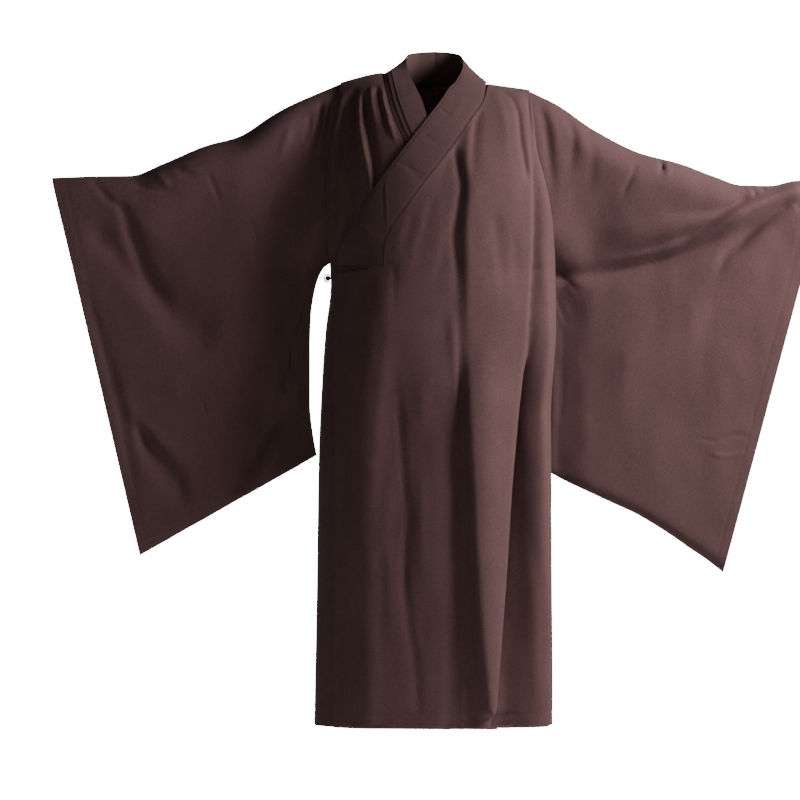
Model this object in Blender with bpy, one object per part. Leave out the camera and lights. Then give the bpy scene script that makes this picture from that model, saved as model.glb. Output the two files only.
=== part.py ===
"""A wide-sleeved robe with a crossed collar, in its worn form, with both sleeves held out.

Metres, +Z up. The front faces -Y and the robe's own left is at +X. The origin is where the
shoulders carry the robe: on the centre line, between front and back, at the neck's base.
"""
import math

import bpy
import numpy as np

# Cloth and seams
CLOTH = 0.0016
BAND = 0.0022
LAYER = 0.0010
SEAM = 0.0003

# Heights of the body
HEM = -1.309
ARMPIT = -0.400
LAP_END = -0.394

# Fullness of the body at the armpit
CHEST_BACK = 0.130
ARMHOLE_SHARE = 0.40
ARMHOLE_INSET = 0.006
LIP_TURN = math.radians(28.0)
LIP_SHARE_LOW = math.sin(LIP_TURN) / (1.0 + math.sin(LIP_TURN))
LIP_SHARE_HIGH = 0.57
NECK_HALF_WIDTH = 0.105
NECK_BACK = 0.070

# The lap of the left front over the right
LAP_LIFT = 0.0062
UNDER_DROP = 0.0070
LAP_EDGE_X = -0.196
LAP_PLEAT_X = -0.100
UNDER_EDGE_X = 0.130

# Colours
COFFEE = (0.050, 0.032, 0.030, 1.0)
COFFEE_BAND = (0.045, 0.029, 0.027, 1.0)

# The body's outline and depth: a row for each height
# height, left side, right side, front depth, back depth
BODY = (
    (-1.309, -0.241, 0.228, 0.176, 0.168),
    (-1.050, -0.236, 0.233, 0.169, 0.157),
    (-0.778, -0.232, 0.237, 0.162, 0.144),
    (-0.600, -0.224, 0.239, 0.157, 0.135),
    (-0.520, -0.218, 0.239, 0.154, 0.132),
    (-0.430, -0.208, 0.239, 0.151, 0.130),
    (-0.400, -0.209, 0.239, 0.150, 0.130),
    (-0.340, -0.214, 0.236, 0.150, 0.130),
    (-0.260, -0.216, 0.228, 0.150, 0.130),
    (-0.120, -0.208, 0.202, 0.150, 0.130),
    (0.000, -0.188, 0.188, 0.150, 0.130),
)

# The shoulder line from the robe's right to its left
# across, height
SHOULDER = ((-0.188, -0.025), (-0.100, -0.006), (0.000, -0.010), (0.104, -0.028), (0.188, -0.040))

# Hanging folds of the body
# height of top, bottom; across at top, middle, bottom; half width; rise
BODY_FOLDS = (
    (-0.100, -1.309, 0.036, 0.058, 0.044, 0.024, -0.014),
    (-0.100, -1.309, 0.110, 0.112, 0.106, 0.034, 0.020),
    (-0.060, -1.309, 0.176, 0.166, 0.140, 0.020, -0.013),
    (-0.500, -1.309, -0.060, -0.064, -0.042, 0.030, -0.006),
    (-0.420, -1.309, -0.140, -0.150, -0.160, 0.036, 0.008),
)

# Folds of the back
BACK_FOLDS = (
    (-0.120, -1.309, -0.120, -0.135, -0.150, 0.034, 0.012),
    (-0.150, -1.309, -0.060, -0.068, -0.085, 0.028, -0.010),
    (-0.150, -1.309, 0.070, 0.076, 0.080, 0.030, -0.011),
    (-0.120, -1.309, 0.125, 0.140, 0.150, 0.034, 0.013),
)

# The collar's left half, from its lapped end to the neck
# inner edge across, height; outer edge across, height
COLLAR_LEFT = (
    (-0.200, -0.3932, -0.101, -0.3932),
    (-0.188, -0.360, -0.100, -0.358),
    (-0.159, -0.312, -0.088, -0.326),
    (-0.122, -0.246, -0.052, -0.272),
    (-0.080, -0.188, -0.014, -0.220),
    (-0.030, -0.122, 0.028, -0.166),
    (0.010, -0.070, 0.066, -0.110),
    (0.038, -0.034, 0.095, -0.066),
)

# The collar's right half, from its hidden end to the neck
COLLAR_RIGHT = (
    (0.176, -0.3700, 0.128, -0.3920),
    (0.130, -0.318, 0.080, -0.344),
    (0.072, -0.240, 0.016, -0.268),
    (0.020, -0.166, -0.036, -0.190),
    (-0.014, -0.104, -0.066, -0.134),
    (-0.034, -0.050, -0.090, -0.072),
)

# The collar round the neck on the robe's left, mirrored for the right
# inner edge across, back, height; outer edge across, back, height
NECK = (
    (0.056, -0.006, 0.010, 0.1025, -0.006, -0.0240),
    (0.052, 0.034, 0.030, 0.0850, 0.036, -0.0250),
    (0.028, 0.054, 0.038, 0.0480, 0.0580, -0.0330),
    (0.000, 0.058, 0.040, 0.0000, 0.0665, -0.0360),
)

# The sleeves from the armhole to the cuff
# upper edge across, height; lower edge across, height; arm radius; half the bag's depth
SLEEVE_RIGHT = (
    (-0.189, -0.026, -0.235, -0.770, 0.058, 0.010),
    (-0.286, -0.069, -0.295, -0.804, 0.056, 0.013),
    (-0.322, -0.089, -0.317, -0.816, 0.055, 0.014),
    (-0.393, -0.134, -0.361, -0.841, 0.053, 0.015),
    (-0.458, -0.152, -0.401, -0.863, 0.051, 0.015),
    (-0.546, -0.189, -0.455, -0.894, 0.048, 0.015),
    (-0.608, -0.212, -0.493, -0.915, 0.045, 0.015),
    (-0.682, -0.213, -0.538, -0.941, 0.041, 0.015),
    (-0.737, -0.215, -0.572, -0.960, 0.039, 0.015),
    (-0.766, -0.216, -0.590, -0.970, 0.038, 0.015),
)
SLEEVE_LEFT = (
    (0.190, -0.041, 0.222, -0.800, 0.056, 0.010),
    (0.248, -0.070, 0.256, -0.819, 0.056, 0.013),
    (0.318, -0.120, 0.298, -0.839, 0.054, 0.015),
    (0.408, -0.166, 0.352, -0.864, 0.052, 0.016),
    (0.490, -0.188, 0.400, -0.886, 0.050, 0.016),
    (0.554, -0.212, 0.438, -0.908, 0.047, 0.016),
    (0.614, -0.231, 0.474, -0.931, 0.044, 0.016),
    (0.670, -0.232, 0.508, -0.955, 0.041, 0.016),
    (0.721, -0.222, 0.538, -0.975, 0.039, 0.016),
    (0.786, -0.220, 0.576, -1.004, 0.038, 0.016),
)

# The sleeves' free inner edges below the armpit: height, across
INNER_RIGHT = (
    (-0.385, -0.216), (-0.418, -0.234), (-0.444, -0.241), (-0.492, -0.248), (-0.556, -0.250),
    (-0.668, -0.250), (-0.706, -0.247), (-0.770, -0.2365),
)
INNER_LEFT = (
    (-0.385, 0.2140), (-0.420, 0.2190), (-0.460, 0.2240), (-0.560, 0.2260), (-0.700, 0.2250),
    (-0.800, 0.2220),
)
ARMHOLE_CLEAR = {-1.0: 0.0015, 1.0: 0.0020}

# Swags across the sleeves' fronts and backs
# across and height at the start, middle and end; half width; rise
SWAGS_LEFT = (
    (0.250, -0.410, 0.480, -0.372, 0.730, -0.262, 0.030, -0.012),
    (0.300, -0.330, 0.480, -0.310, 0.700, -0.245, 0.030, 0.010),
    (0.330, -0.600, 0.440, -0.560, 0.560, -0.470, 0.050, 0.008),
)
SWAGS_RIGHT = (
    (-0.640, -0.240, -0.560, -0.480, -0.420, -0.500, 0.045, -0.012),
    (-0.610, -0.700, -0.540, -0.800, -0.480, -0.860, 0.035, -0.008),
    (-0.290, -0.620, -0.340, -0.740, -0.400, -0.840, 0.035, -0.009),
)

# The collar band's steps, and the places of its stepped layers across it
CHEST_STEPS = 22
NECK_STEPS = 9
BAND_SHARES = (0.0, 0.17, 0.34, 0.51, 0.68, 0.84, 1.0)
LAYER_START = 13

# Fastening and patch
KNOT_CENTRE = (-0.2135, -0.0640, -0.4180)
KNOT_RADIUS = 0.0058
CORD_RADIUS = 0.0014
LOOP_STAND = 0.0018
TAB = (-0.2200, -0.2020, -0.770, -0.676)


def smooth(table_x, table_y, x):
    """Value at x on a curve through a table, with no overshoot between its rows."""
    xs = np.asarray(table_x, float)
    ys = np.asarray(table_y, float)
    step = np.diff(xs)
    rise = np.diff(ys) / step
    same = rise[:-1] * rise[1:] > 0
    mean = np.zeros(len(xs) - 2)
    mean[same] = 2.0 / (1.0 / rise[:-1][same] + 1.0 / rise[1:][same])
    slope = np.concatenate(([rise[0]], mean, [rise[-1]]))
    x = np.clip(x, xs[0], xs[-1])
    k = np.clip(np.searchsorted(xs, x, side="right") - 1, 0, len(step) - 1)
    t = (x - xs[k]) / step[k]
    return (ys[k] * (1 + 2 * t) * (1 - t) ** 2 + ys[k + 1] * t * t * (3 - 2 * t)
            + step[k] * (slope[k] * t * (1 - t) ** 2 - slope[k + 1] * t * t * (1 - t)))


def column(table, index):
    """One column of a table, as an array."""
    return np.array([row[index] for row in table], float)


def ease(t):
    """Rises smoothly from 0 to 1 as t does."""
    t = np.clip(t, 0.0, 1.0)
    return t * t * (3.0 - 2.0 * t)


def shoulder_height(x):
    """Height of the shoulder line at a place across the body."""
    return smooth(column(SHOULDER, 0), column(SHOULDER, 1), x)


def rise_share(level):
    """0 at the armpit and below, 1 on the shoulder line."""
    return np.clip((level - ARMPIT) / -ARMPIT, 0.0, 1.0)


def true_height(level, x):
    """Rows are level up to the armpit and lean to the shoulder line above it."""
    share = rise_share(level)
    return np.where(level < ARMPIT, level, ARMPIT + share * (shoulder_height(x) - ARMPIT))


def level_of(x, z):
    """The row on which a place across the body and a height lie."""
    share = (z - ARMPIT) / (shoulder_height(x) - ARMPIT)
    return np.where(z < ARMPIT, z, ARMPIT - ARMPIT * np.clip(share, 0.0, 1.0))


def body_column(level, index):
    """A column of the body's table, at any height."""
    return smooth(column(BODY, 0), column(BODY, index), level)


def opening_share(level):
    """The armhole's depth opens from a point at the armpit to its whole depth."""
    return np.sin(np.clip(rise_share(level) / 0.30, 0.0, 1.0) * math.pi / 2)


def lip_turn(level):
    """How far the left front rolls under in front of the sleeve, less towards the shoulder line."""
    return LIP_TURN * (1.0 - ease((rise_share(level) - 0.25) / 0.75))


def fold_rise(folds, x, z):
    """Sum of soft ridges and troughs that run down the body."""
    total = np.zeros(np.broadcast(x, z).shape)
    for top, bottom, x_top, x_mid, x_low, half_width, rise in folds:
        down = np.clip((top - z) / (top - bottom), 0.0, 1.0)
        centre = smooth((0.0, 0.45, 1.0), (x_top, x_mid, x_low), down)
        reach = ease((top - z) / 0.22)
        total = total + rise * reach * np.exp(-((x - centre) / half_width) ** 2)
    return total


def front_surface(angle, level):
    """The front: half an ellipse whose left end meets the armhole and whose right end rolls under."""
    share = rise_share(level)
    depth = body_column(level, 3) * np.sqrt(np.clip(1.0 - share ** 3, 0.0, 1.0))
    left = ARMHOLE_SHARE * opening_share(level)
    right = LIP_SHARE_LOW + (LIP_SHARE_HIGH - LIP_SHARE_LOW) * opening_share(level)
    flat = np.where(angle < 0, left, right)
    half = np.where(angle < 0, -body_column(level, 1), body_column(level, 2))
    x = half * np.sin(angle)
    z = true_height(level, x)
    turn = 1.0 - np.cos(angle)
    y = -depth * (np.cos(angle) + flat * np.where(angle < 0, turn ** 2, turn))
    fade = np.clip(np.cos(angle * 0.94), 0.0, 1.0) ** 0.5 * (1.0 - share ** 6)
    y = y - fold_rise(BODY_FOLDS, x, z) * fade
    return np.stack(np.broadcast_arrays(x, y, z), axis=-1)


def back_surface(angle, level, fall):
    """The back: half an ellipse between the side seams. Fall is 0 at the shoulder's foot, 1 on its line."""
    bend = fall * math.pi / 2
    share = np.where(fall > 0, np.sin(bend) ** 0.4, 0.0)
    row = np.where(fall > 0, ARMPIT - ARMPIT * share, level)
    depth = body_column(row, 4) * np.where(fall > 0, np.cos(bend), 1.0)
    flat = ARMHOLE_SHARE * opening_share(row)
    x = np.where(angle < 0, -seam_across(-1.0, row), seam_across(1.0, row)) * np.sin(angle)
    z = true_height(row, x)
    y = depth * (flat + (1.0 - flat) * np.cos(angle))
    fade = np.clip(np.cos(angle), 0.0, 1.0) ** 0.5 * (1.0 - share ** 6)
    y = y + fold_rise(BACK_FOLDS, x, z) * fade
    return np.stack(np.broadcast_arrays(x, y, z), axis=-1)


def normals(points):
    """Unit normals of a grid of points, from the steps to its neighbours."""
    across = np.gradient(points, axis=1)
    along = np.gradient(points, axis=0)
    normal = np.cross(across, along)
    return normal / np.maximum(np.linalg.norm(normal, axis=-1, keepdims=True), 1e-12)


def front_cloth(angle, level, lift):
    """The front, moved out along its own normal."""
    step = 0.004
    here = front_surface(angle, level)
    side = front_surface(angle + step, level) - front_surface(angle - step, level)
    up = front_surface(angle, np.minimum(level + step, -1e-4)) - front_surface(angle, level - step)
    normal = np.cross(side, up)
    normal = normal / np.maximum(np.linalg.norm(normal, axis=-1, keepdims=True), 1e-12)
    return here + normal * np.asarray(lift)[..., None]


def front_point(x, z, lift):
    """A point on the front at a place across and a height, moved out from it."""
    level = level_of(x, z)
    half = np.where(x < 0, -body_column(level, 1), body_column(level, 2))
    angle = np.arcsin(np.clip(x / half, -1.0, 1.0))
    return front_cloth(angle, level, lift)


def make_object(name, vertices, faces, colour, roughness):
    """A mesh object with its own material."""
    mesh = bpy.data.meshes.new(name)
    mesh.from_pydata([tuple(v) for v in vertices], [], [tuple(f) for f in faces])
    mesh.validate()
    material = bpy.data.materials.new(name + "_cloth")
    material.use_nodes = True
    shader = material.node_tree.nodes["Principled BSDF"]
    shader.inputs["Base Color"].default_value = colour
    shader.inputs["Roughness"].default_value = roughness
    shader.inputs["Metallic"].default_value = 0.0
    mesh.materials.append(material)
    mesh.shade_smooth()
    mesh.set_sharp_from_angle(angle=math.radians(50))
    thing = bpy.data.objects.new(name, mesh)
    bpy.context.scene.collection.objects.link(thing)
    return thing


def signed_volume(vertices, faces):
    """Six times the volume that the faces close, positive when they point out."""
    corner = [np.array([vertices[f[k]] for f in faces]) for k in range(4)]
    first = np.einsum("ij,ij->i", corner[0], np.cross(corner[1], corner[2]))
    second = np.einsum("ij,ij->i", corner[0], np.cross(corner[2], corner[3]))
    return float((first + second).sum())


def cloth_wall(name, points, thickness, used=None, ring=False, colour=COFFEE):
    """A closed wall of even thickness over a grid of points. A ring's last column joins its first."""
    if ring:
        wide = np.concatenate((points[:, -2:], points, points[:, :2]), axis=1)
        normal = normals(wide)[:, 2:-2]
    else:
        normal = normals(points)
    rows, columns = points.shape[:2]
    cells = columns if ring else columns - 1
    if used is None:
        used = np.ones((rows - 1, cells), bool)
    outer = (points + normal * thickness / 2).reshape(-1, 3)
    inner = (points - normal * thickness / 2).reshape(-1, 3)
    count = rows * columns
    faces = []
    for i in range(rows - 1):
        for j in range(cells):
            if not used[i, j]:
                continue
            k = (j + 1) % columns
            a, b, c, d = i * columns + j, i * columns + k, (i + 1) * columns + k, (i + 1) * columns + j
            faces.append((a, b, c, d))
            faces.append((a + count, d + count, c + count, b + count))
            below = i > 0 and used[i - 1, j]
            above = i < rows - 2 and used[i + 1, j]
            before = used[i, j - 1] if (ring or j > 0) else False
            after = used[i, k % cells] if (ring or j < cells - 1) else False
            for open_side, p, q in ((below, a, b), (after, b, c), (above, c, d), (before, d, a)):
                if not open_side:
                    faces.append((q, p, p + count, q + count))
    vertices = np.concatenate((outer, inner))
    wanted = np.unique(np.array(faces))
    place = np.full(len(vertices), -1)
    place[wanted] = np.arange(len(wanted))
    faces = place[np.array(faces)]
    vertices = vertices[wanted]
    if signed_volume(vertices, faces) < 0:
        faces = faces[:, ::-1]
    return make_object(name, vertices, faces.tolist(), colour, 0.86)


def body_rows():
    """Row heights from the hem to the shoulder line, closer where the cloth turns."""
    low = np.linspace(HEM, -0.470, 12)
    notch = np.array([-0.430, -0.410, LAP_END, -0.376, -0.352, -0.320, -0.290])
    bend = np.radians(np.linspace(12.0, 90.0, 12))
    high = ARMPIT - ARMPIT * np.sin(bend) ** (2.0 / 3.0)
    return np.concatenate((low, notch, high))


def seam_by_level(rows_table, edge):
    """The collar's seam as a place across for each row: edge 0 is the inner one, 2 the outer."""
    x = column(rows_table, edge)
    z = column(rows_table, edge + 1)
    x = np.append(x, math.copysign(NECK_HALF_WIDTH, x[-1]))
    level = np.append(level_of(x[:-1], z), 0.0)
    return level, x


def under_drop(x, z):
    """How far the right front falls back where the left front lies over it."""
    heights = column(COLLAR_LEFT, 1)
    edge = smooth(heights, column(COLLAR_LEFT, 0), z)
    return UNDER_DROP * ease((x - edge - 0.004) / 0.055) * ease((0.16 - x) / 0.02 + 1.0)


def seam_across(side, level):
    """Where the armhole's seam and the side seam lie across the body."""
    if side < 0:
        return body_column(level, 1)
    return body_column(level, 2) * np.cos(lip_turn(level))


def lapped_panel(name, collar, side, lap_edge, pleat, lift, columns_lap, columns_main):
    """A front panel: from its free edge below the collar's end, from the collar's seam above it."""
    rows = body_rows()
    level, seam_x = seam_by_level(collar, 2)
    seam = smooth(level, seam_x, rows)
    seam = np.where(rows <= LAP_END, pleat, seam)
    clear = 0.0013 if side > 0 else 0.0020
    half = np.where(seam < 0, -body_column(rows, 1), body_column(rows, 2))
    pleat_angle = np.arcsin((seam + side * clear) / half)
    end = math.pi / 2 + lip_turn(rows) if side > 0 else np.full(len(rows), -math.pi / 2)
    trim = 0.0045 if side > 0 else 0.0015
    end = end - side * trim
    main = pleat_angle[:, None] + (end - pleat_angle)[:, None] * np.linspace(0, 1, columns_main + 1) ** 0.92
    lap_half = -body_column(rows, 1) if lap_edge < 0 else body_column(rows, 2)
    lap_angle = np.arcsin(np.clip(lap_edge / lap_half, -0.97, 0.97))
    lap = lap_angle[:, None] + (pleat_angle - lap_angle)[:, None] * np.linspace(0, 1, columns_lap + 1)[:-1]
    angle = np.concatenate((lap, main), axis=1)
    points = front_surface(angle, rows[:, None])
    if side > 0:
        top = 1.0 - rise_share(rows)[:, None] ** 8
        move = lift * ease((0.200 - points[..., 0]) / 0.060) * top
    else:
        move = -under_drop(points[..., 0], points[..., 2])
    points = front_cloth(angle, rows[:, None], move)
    points[..., 1] -= SEAM / 2
    used = np.ones((len(rows) - 1, angle.shape[1] - 1), bool)
    used[rows[:-1] >= LAP_END - 1e-6, :columns_lap] = False
    return cloth_wall(name, points, CLOTH, used)


def back_panel(name, side, columns):
    """Half of the back, from the centre seam to the side seam, up to the shoulder and the neck."""
    low = np.linspace(HEM, -0.470, 11)
    notch = np.array([-0.435, -0.412])
    fall = np.concatenate((np.zeros(len(low) + 2), np.radians((0.002, 0.03, 0.4, 2.5, 7.0, 12.0)) / (math.pi / 2),
                           np.linspace(0.2, 1.0, 9)))
    rows = np.concatenate((low, notch, np.full(len(fall) - len(low) - 2, ARMPIT)))
    angle = np.linspace(0.0, side * (math.pi / 2 - 0.003), columns + 1)
    angle[0] = side * 0.001
    top_x = abs(seam_across(side, 0.0)) * np.sin(angle)
    inside = np.clip(1.0 - (top_x / NECK_HALF_WIDTH) ** 2, 0.0, 1.0)
    neckline = NECK_BACK * np.sqrt(inside) + SEAM / 2
    round_share = ARMHOLE_SHARE + (1.0 - ARMHOLE_SHARE) * np.cos(angle)
    limit = np.arccos(np.clip(neckline / (round_share * CHEST_BACK), 0.0, 1.0)) / (math.pi / 2)
    points = back_surface(angle[None, :], rows[:, None], fall[:, None] * limit[None, :])
    points[..., 1] += SEAM / 2
    return cloth_wall(name, points, CLOTH)


def chest_line(collar, edge, steps):
    """Places of a collar edge on the chest, evenly stepped along it, on the curve of its seam."""
    level, x = seam_by_level(collar, edge)
    count = len(collar)
    pick = np.interp(np.linspace(0, count - 1, steps), np.arange(count), level[:count])
    across = smooth(level, x, pick)
    return across, true_height(pick, across)


def collar_points(collar, side, lift, shares):
    """The collar from its end over the chest to the centre back, as a grid across its width."""
    in_x, in_z = chest_line(collar, 0, CHEST_STEPS)
    out_x, out_z = chest_line(collar, 2, CHEST_STEPS)
    share = np.array(shares)[None, :]
    x = in_x[:, None] * (1 - share) + out_x[:, None] * share
    z = in_z[:, None] * (1 - share) + out_z[:, None] * share
    drop = under_drop(x, z) if side < 0 else 0.0
    chest = front_point(x, z, lift - drop)
    neck_in = np.array([row[:3] for row in NECK]) * (side, 1, 1)
    neck_out = np.array([row[3:] for row in NECK]) * (side, 1, 1)
    neck_in[-1, 0] = neck_out[-1, 0] = side * SEAM
    neck = neck_in[:, None] * (1 - share)[..., None] + neck_out[:, None] * share[..., None]
    path = np.concatenate((chest[-2:], neck))
    middle = path.mean(axis=1)
    run = np.concatenate(([0.0], np.cumsum(np.linalg.norm(np.diff(middle, axis=0), axis=1))))
    along = np.linspace(run[1], run[-1], NECK_STEPS + 1)[1:]
    turned = np.stack([np.stack([smooth(run, path[:, j, k], along) for k in range(3)], axis=-1)
                       for j in range(path.shape[1])], axis=1)
    return np.concatenate((chest, turned))


def collar_half(name, collar, side, lift):
    """Half of the collar band, lapped end to centre back."""
    points = collar_points(collar, side, lift, BAND_SHARES)
    return cloth_wall(name, points, BAND, colour=COFFEE_BAND)


def collar_layer(name, columns, lift):
    """A narrower layer on the right half of the collar, from under the crossing up to the neck."""
    points = collar_points(COLLAR_RIGHT, -1.0, 0.0, BAND_SHARES)
    points = points - normals(points) * lift
    return cloth_wall(name, points[LAYER_START:, :columns], LAYER, colour=COFFEE_BAND)


def swag_rise(swags, x, z):
    """Sum of soft ridges and troughs that hang across a sleeve in shallow curves."""
    total = np.zeros(np.broadcast(x, z).shape)
    for x0, z0, x1, z1, x2, z2, half_width, rise in swags:
        share = (x - x0) / (x2 - x0)
        bend = (z1 - (z0 + z2) / 2) * 4.0
        line = z0 + (z2 - z0) * share + bend * share * (1 - share)
        reach = ease(share / 0.25) * ease((1 - share) / 0.25)
        total = total + rise * reach * np.exp(-((z - line) / half_width) ** 2)
    return total


def armhole_depth(side, z):
    """How far the armhole reaches forward and back at a height, and nearly nothing below the armpit."""
    x = 0.2 * side
    level = level_of(x, z)
    share = rise_share(level)
    front = body_column(level, 3) * np.sqrt(np.clip(1.0 - share ** 3, 0.0, 1.0))
    back = body_column(level, 4) * np.sqrt(np.clip(1.0 - share ** 5, 0.0, 1.0))
    grow = opening_share(level)
    if side < 0:
        front_part = ARMHOLE_SHARE * grow
    else:
        flat = LIP_SHARE_LOW + (LIP_SHARE_HIGH - LIP_SHARE_LOW) * grow
        front_part = flat - (1.0 - flat) * np.sin(lip_turn(level))
    return front * front_part, back * ARMHOLE_SHARE * grow


def sleeve_section(length, arm, bag, down):
    """Half depth of the sleeve: round over the arm, then drawing in to a shallow bag with a round foot."""
    depth = down * length
    over = arm * np.sqrt(np.clip(1.0 - (1.0 - np.clip(depth / arm, 0, 1)) ** 2, 0, 1))
    below = bag + (arm - bag) * np.exp(-(np.clip(depth - arm, 0, None) / (2.6 * arm)) ** 1.5)
    foot = 1.6 * bag
    left = np.clip((length - depth) / foot, 0, 1)
    return np.where(depth < arm, over, below) * np.sqrt(1.0 - (1.0 - left) ** 2)


def sleeve_panel(name, stations, inner_edge, swags, side, rows):
    """A sleeve: one panel folded over the arm, a ring of points for each place along it."""
    across = np.linspace(0.0, 1.0, rows + 1)
    run = np.abs(column(stations, 0) - stations[0][0])
    run = run / run[-1]
    top_x, top_z, low_x, low_z, arm, bag = [smooth(run, column(stations, k), across)[:, None] for k in range(6)]
    pit = (ARMPIT + 0.006 - stations[0][1]) / (stations[0][3] - stations[0][1])
    upper = np.array((0.0, 0.012, 0.05, 0.12, 0.21, 0.33, 0.48, 0.66, 0.84, 0.95, 1.0)) * pit
    lower = pit + np.array((0.07, 0.26, 0.50, 0.74, 0.91, 0.972, 1.0)) * (1.0 - pit)
    down = np.concatenate((upper, lower))[None, :]
    x = top_x + (low_x - top_x) * down
    z = top_z + (low_z - top_z) * down
    length = np.hypot(low_x - top_x, low_z - top_z)
    straight = stations[0][0] + (stations[0][2] - stations[0][0]) * down
    inner_z = stations[0][1] + (stations[0][3] - stations[0][1]) * down
    armhole = seam_across(side, level_of(0.2 * side, inner_z)) + side * ARMHOLE_CLEAR[side]
    free = smooth(-column(inner_edge, 0), column(inner_edge, 1), -inner_z)
    bow = np.where(inner_z > inner_edge[0][0], armhole, free) - straight
    x = x + bow * (1.0 - ease(across[:, None] / 0.30))
    hang = sleeve_section(length, arm, bag, down)
    front_edge, back_edge = armhole_depth(side, inner_z - ARMHOLE_INSET * ease((-inner_z - 0.2) / 0.1))
    closed = CLOTH / 2 + 0.0004
    tuck = 0.0010 if side > 0 else 0.0
    front_edge = np.maximum(front_edge - tuck, closed)
    back_edge = np.maximum(back_edge, closed)
    front_edge[0, 0] = back_edge[0, 0] = 0.0
    front_edge[0, -1] = back_edge[0, -1] = 0.0
    join = ease(across[:, None] / 0.24)
    cross = swag_rise(swags, x, z) * ease(down / 0.12) * ease((1 - down) / 0.12)
    front = front_edge * (1 - join) + hang * join
    back = back_edge * (1 - join) + hang * join
    near = np.stack((x, -front - cross, z), axis=-1)
    far = np.stack((x, back - cross * 0.8, z), axis=-1)
    points = np.concatenate((near, far[:, -2:0:-1]), axis=1)
    return cloth_wall(name, points, CLOTH, ring=True)


def tube(name, path, radius, sides, closed_ends=True):
    """A rolled cord along a path, as a bevelled curve with filled ends."""
    curve = bpy.data.curves.new(name, "CURVE")
    curve.dimensions = "3D"
    curve.bevel_depth = radius
    curve.bevel_resolution = sides
    curve.use_fill_caps = closed_ends
    line = curve.splines.new("POLY")
    line.points.add(len(path) - 1)
    for point, place in zip(line.points, path):
        point.co = (*place, 1.0)
    material = bpy.data.materials.new(name + "_cloth")
    material.use_nodes = True
    shader = material.node_tree.nodes["Principled BSDF"]
    shader.inputs["Base Color"].default_value = COFFEE_BAND
    shader.inputs["Roughness"].default_value = 0.8
    shader.inputs["Metallic"].default_value = 0.0
    curve.materials.append(material)
    thing = bpy.data.objects.new(name, curve)
    bpy.context.scene.collection.objects.link(thing)
    return thing


def fastening():
    """A rolled-cloth knot at the side and the loop that reaches it from the collar's end."""
    knot = np.array(KNOT_CENTRE)
    lat, lon = np.meshgrid(np.linspace(0, math.pi, 9)[1:-1], np.linspace(0, 2 * math.pi, 13)[:-1], indexing="ij")
    ball = knot + KNOT_RADIUS * np.stack((np.sin(lat) * np.cos(lon), np.sin(lat) * np.sin(lon), np.cos(lat)), -1)
    poles = np.array((knot + (0, 0, KNOT_RADIUS), knot - (0, 0, KNOT_RADIUS)))
    vertices = np.concatenate((ball.reshape(-1, 3), poles))
    rows, columns = ball.shape[:2]
    faces = []
    for j in range(columns):
        k = (j + 1) % columns
        faces.append((rows * columns, j, k))
        faces.append((rows * columns + 1, (rows - 1) * columns + k, (rows - 1) * columns + j))
        for i in range(rows - 1):
            faces.append((i * columns + j, (i + 1) * columns + j, (i + 1) * columns + k, i * columns + k))
    make_object("knot_button", vertices, faces, COFFEE_BAND, 0.8)

    sewn_x = np.linspace(-0.126, -0.190, 9)
    sewn_z = -0.4000 + (-0.126 - sewn_x) * -0.12
    stand = SEAM + LOOP_STAND * np.linspace(0.0, 1.0, len(sewn_x))
    sewn = front_point(sewn_x, sewn_z, LAP_LIFT + CLOTH / 2 + CORD_RADIUS + stand)
    turn = np.linspace(math.radians(-8), math.radians(318), 12)
    reach = KNOT_RADIUS + CORD_RADIUS + SEAM
    loop = knot + np.stack((reach * np.cos(turn), np.full(len(turn), 0.0), reach * np.sin(turn)), -1)
    tube("button_loop", np.concatenate((sewn, loop[:-1])), CORD_RADIUS, 2)


def side_tab():
    """A small patch stitched on the strip beside the lap's free edge."""
    x = np.linspace(TAB[0], TAB[1], 4)[None, :]
    z = np.linspace(TAB[2], TAB[3], 7)[:, None]
    x, z = np.broadcast_arrays(x, z)
    points = front_point(x, z, CLOTH / 2 + SEAM + LAYER / 2)
    cloth_wall("side_tab", points, LAYER)


for old in list(bpy.data.objects):
    bpy.data.objects.remove(old, do_unlink=True)

lapped_panel("front_over", COLLAR_LEFT, 1.0, LAP_EDGE_X, LAP_PLEAT_X, LAP_LIFT, 4, 27)
lapped_panel("front_under", COLLAR_RIGHT, -1.0, UNDER_EDGE_X, UNDER_EDGE_X - 0.004, 0.0, 1, 17)
back_panel("back_left", 1.0, 11)
back_panel("back_right", -1.0, 11)
collar_half("collar_left", COLLAR_LEFT, 1.0, LAP_LIFT)
collar_half("collar_right", COLLAR_RIGHT, -1.0, 0.0)
collar_layer("collar_layer_mid", 6, BAND / 2 + SEAM + LAYER / 2)
collar_layer("collar_layer_top", 5, BAND / 2 + 2 * SEAM + LAYER * 1.5)
sleeve_panel("sleeve_right", SLEEVE_RIGHT, INNER_RIGHT, SWAGS_RIGHT, -1.0, 15)
sleeve_panel("sleeve_left", SLEEVE_LEFT, INNER_LEFT, SWAGS_LEFT, 1.0, 15)
fastening()
side_tab()
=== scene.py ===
import math

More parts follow.
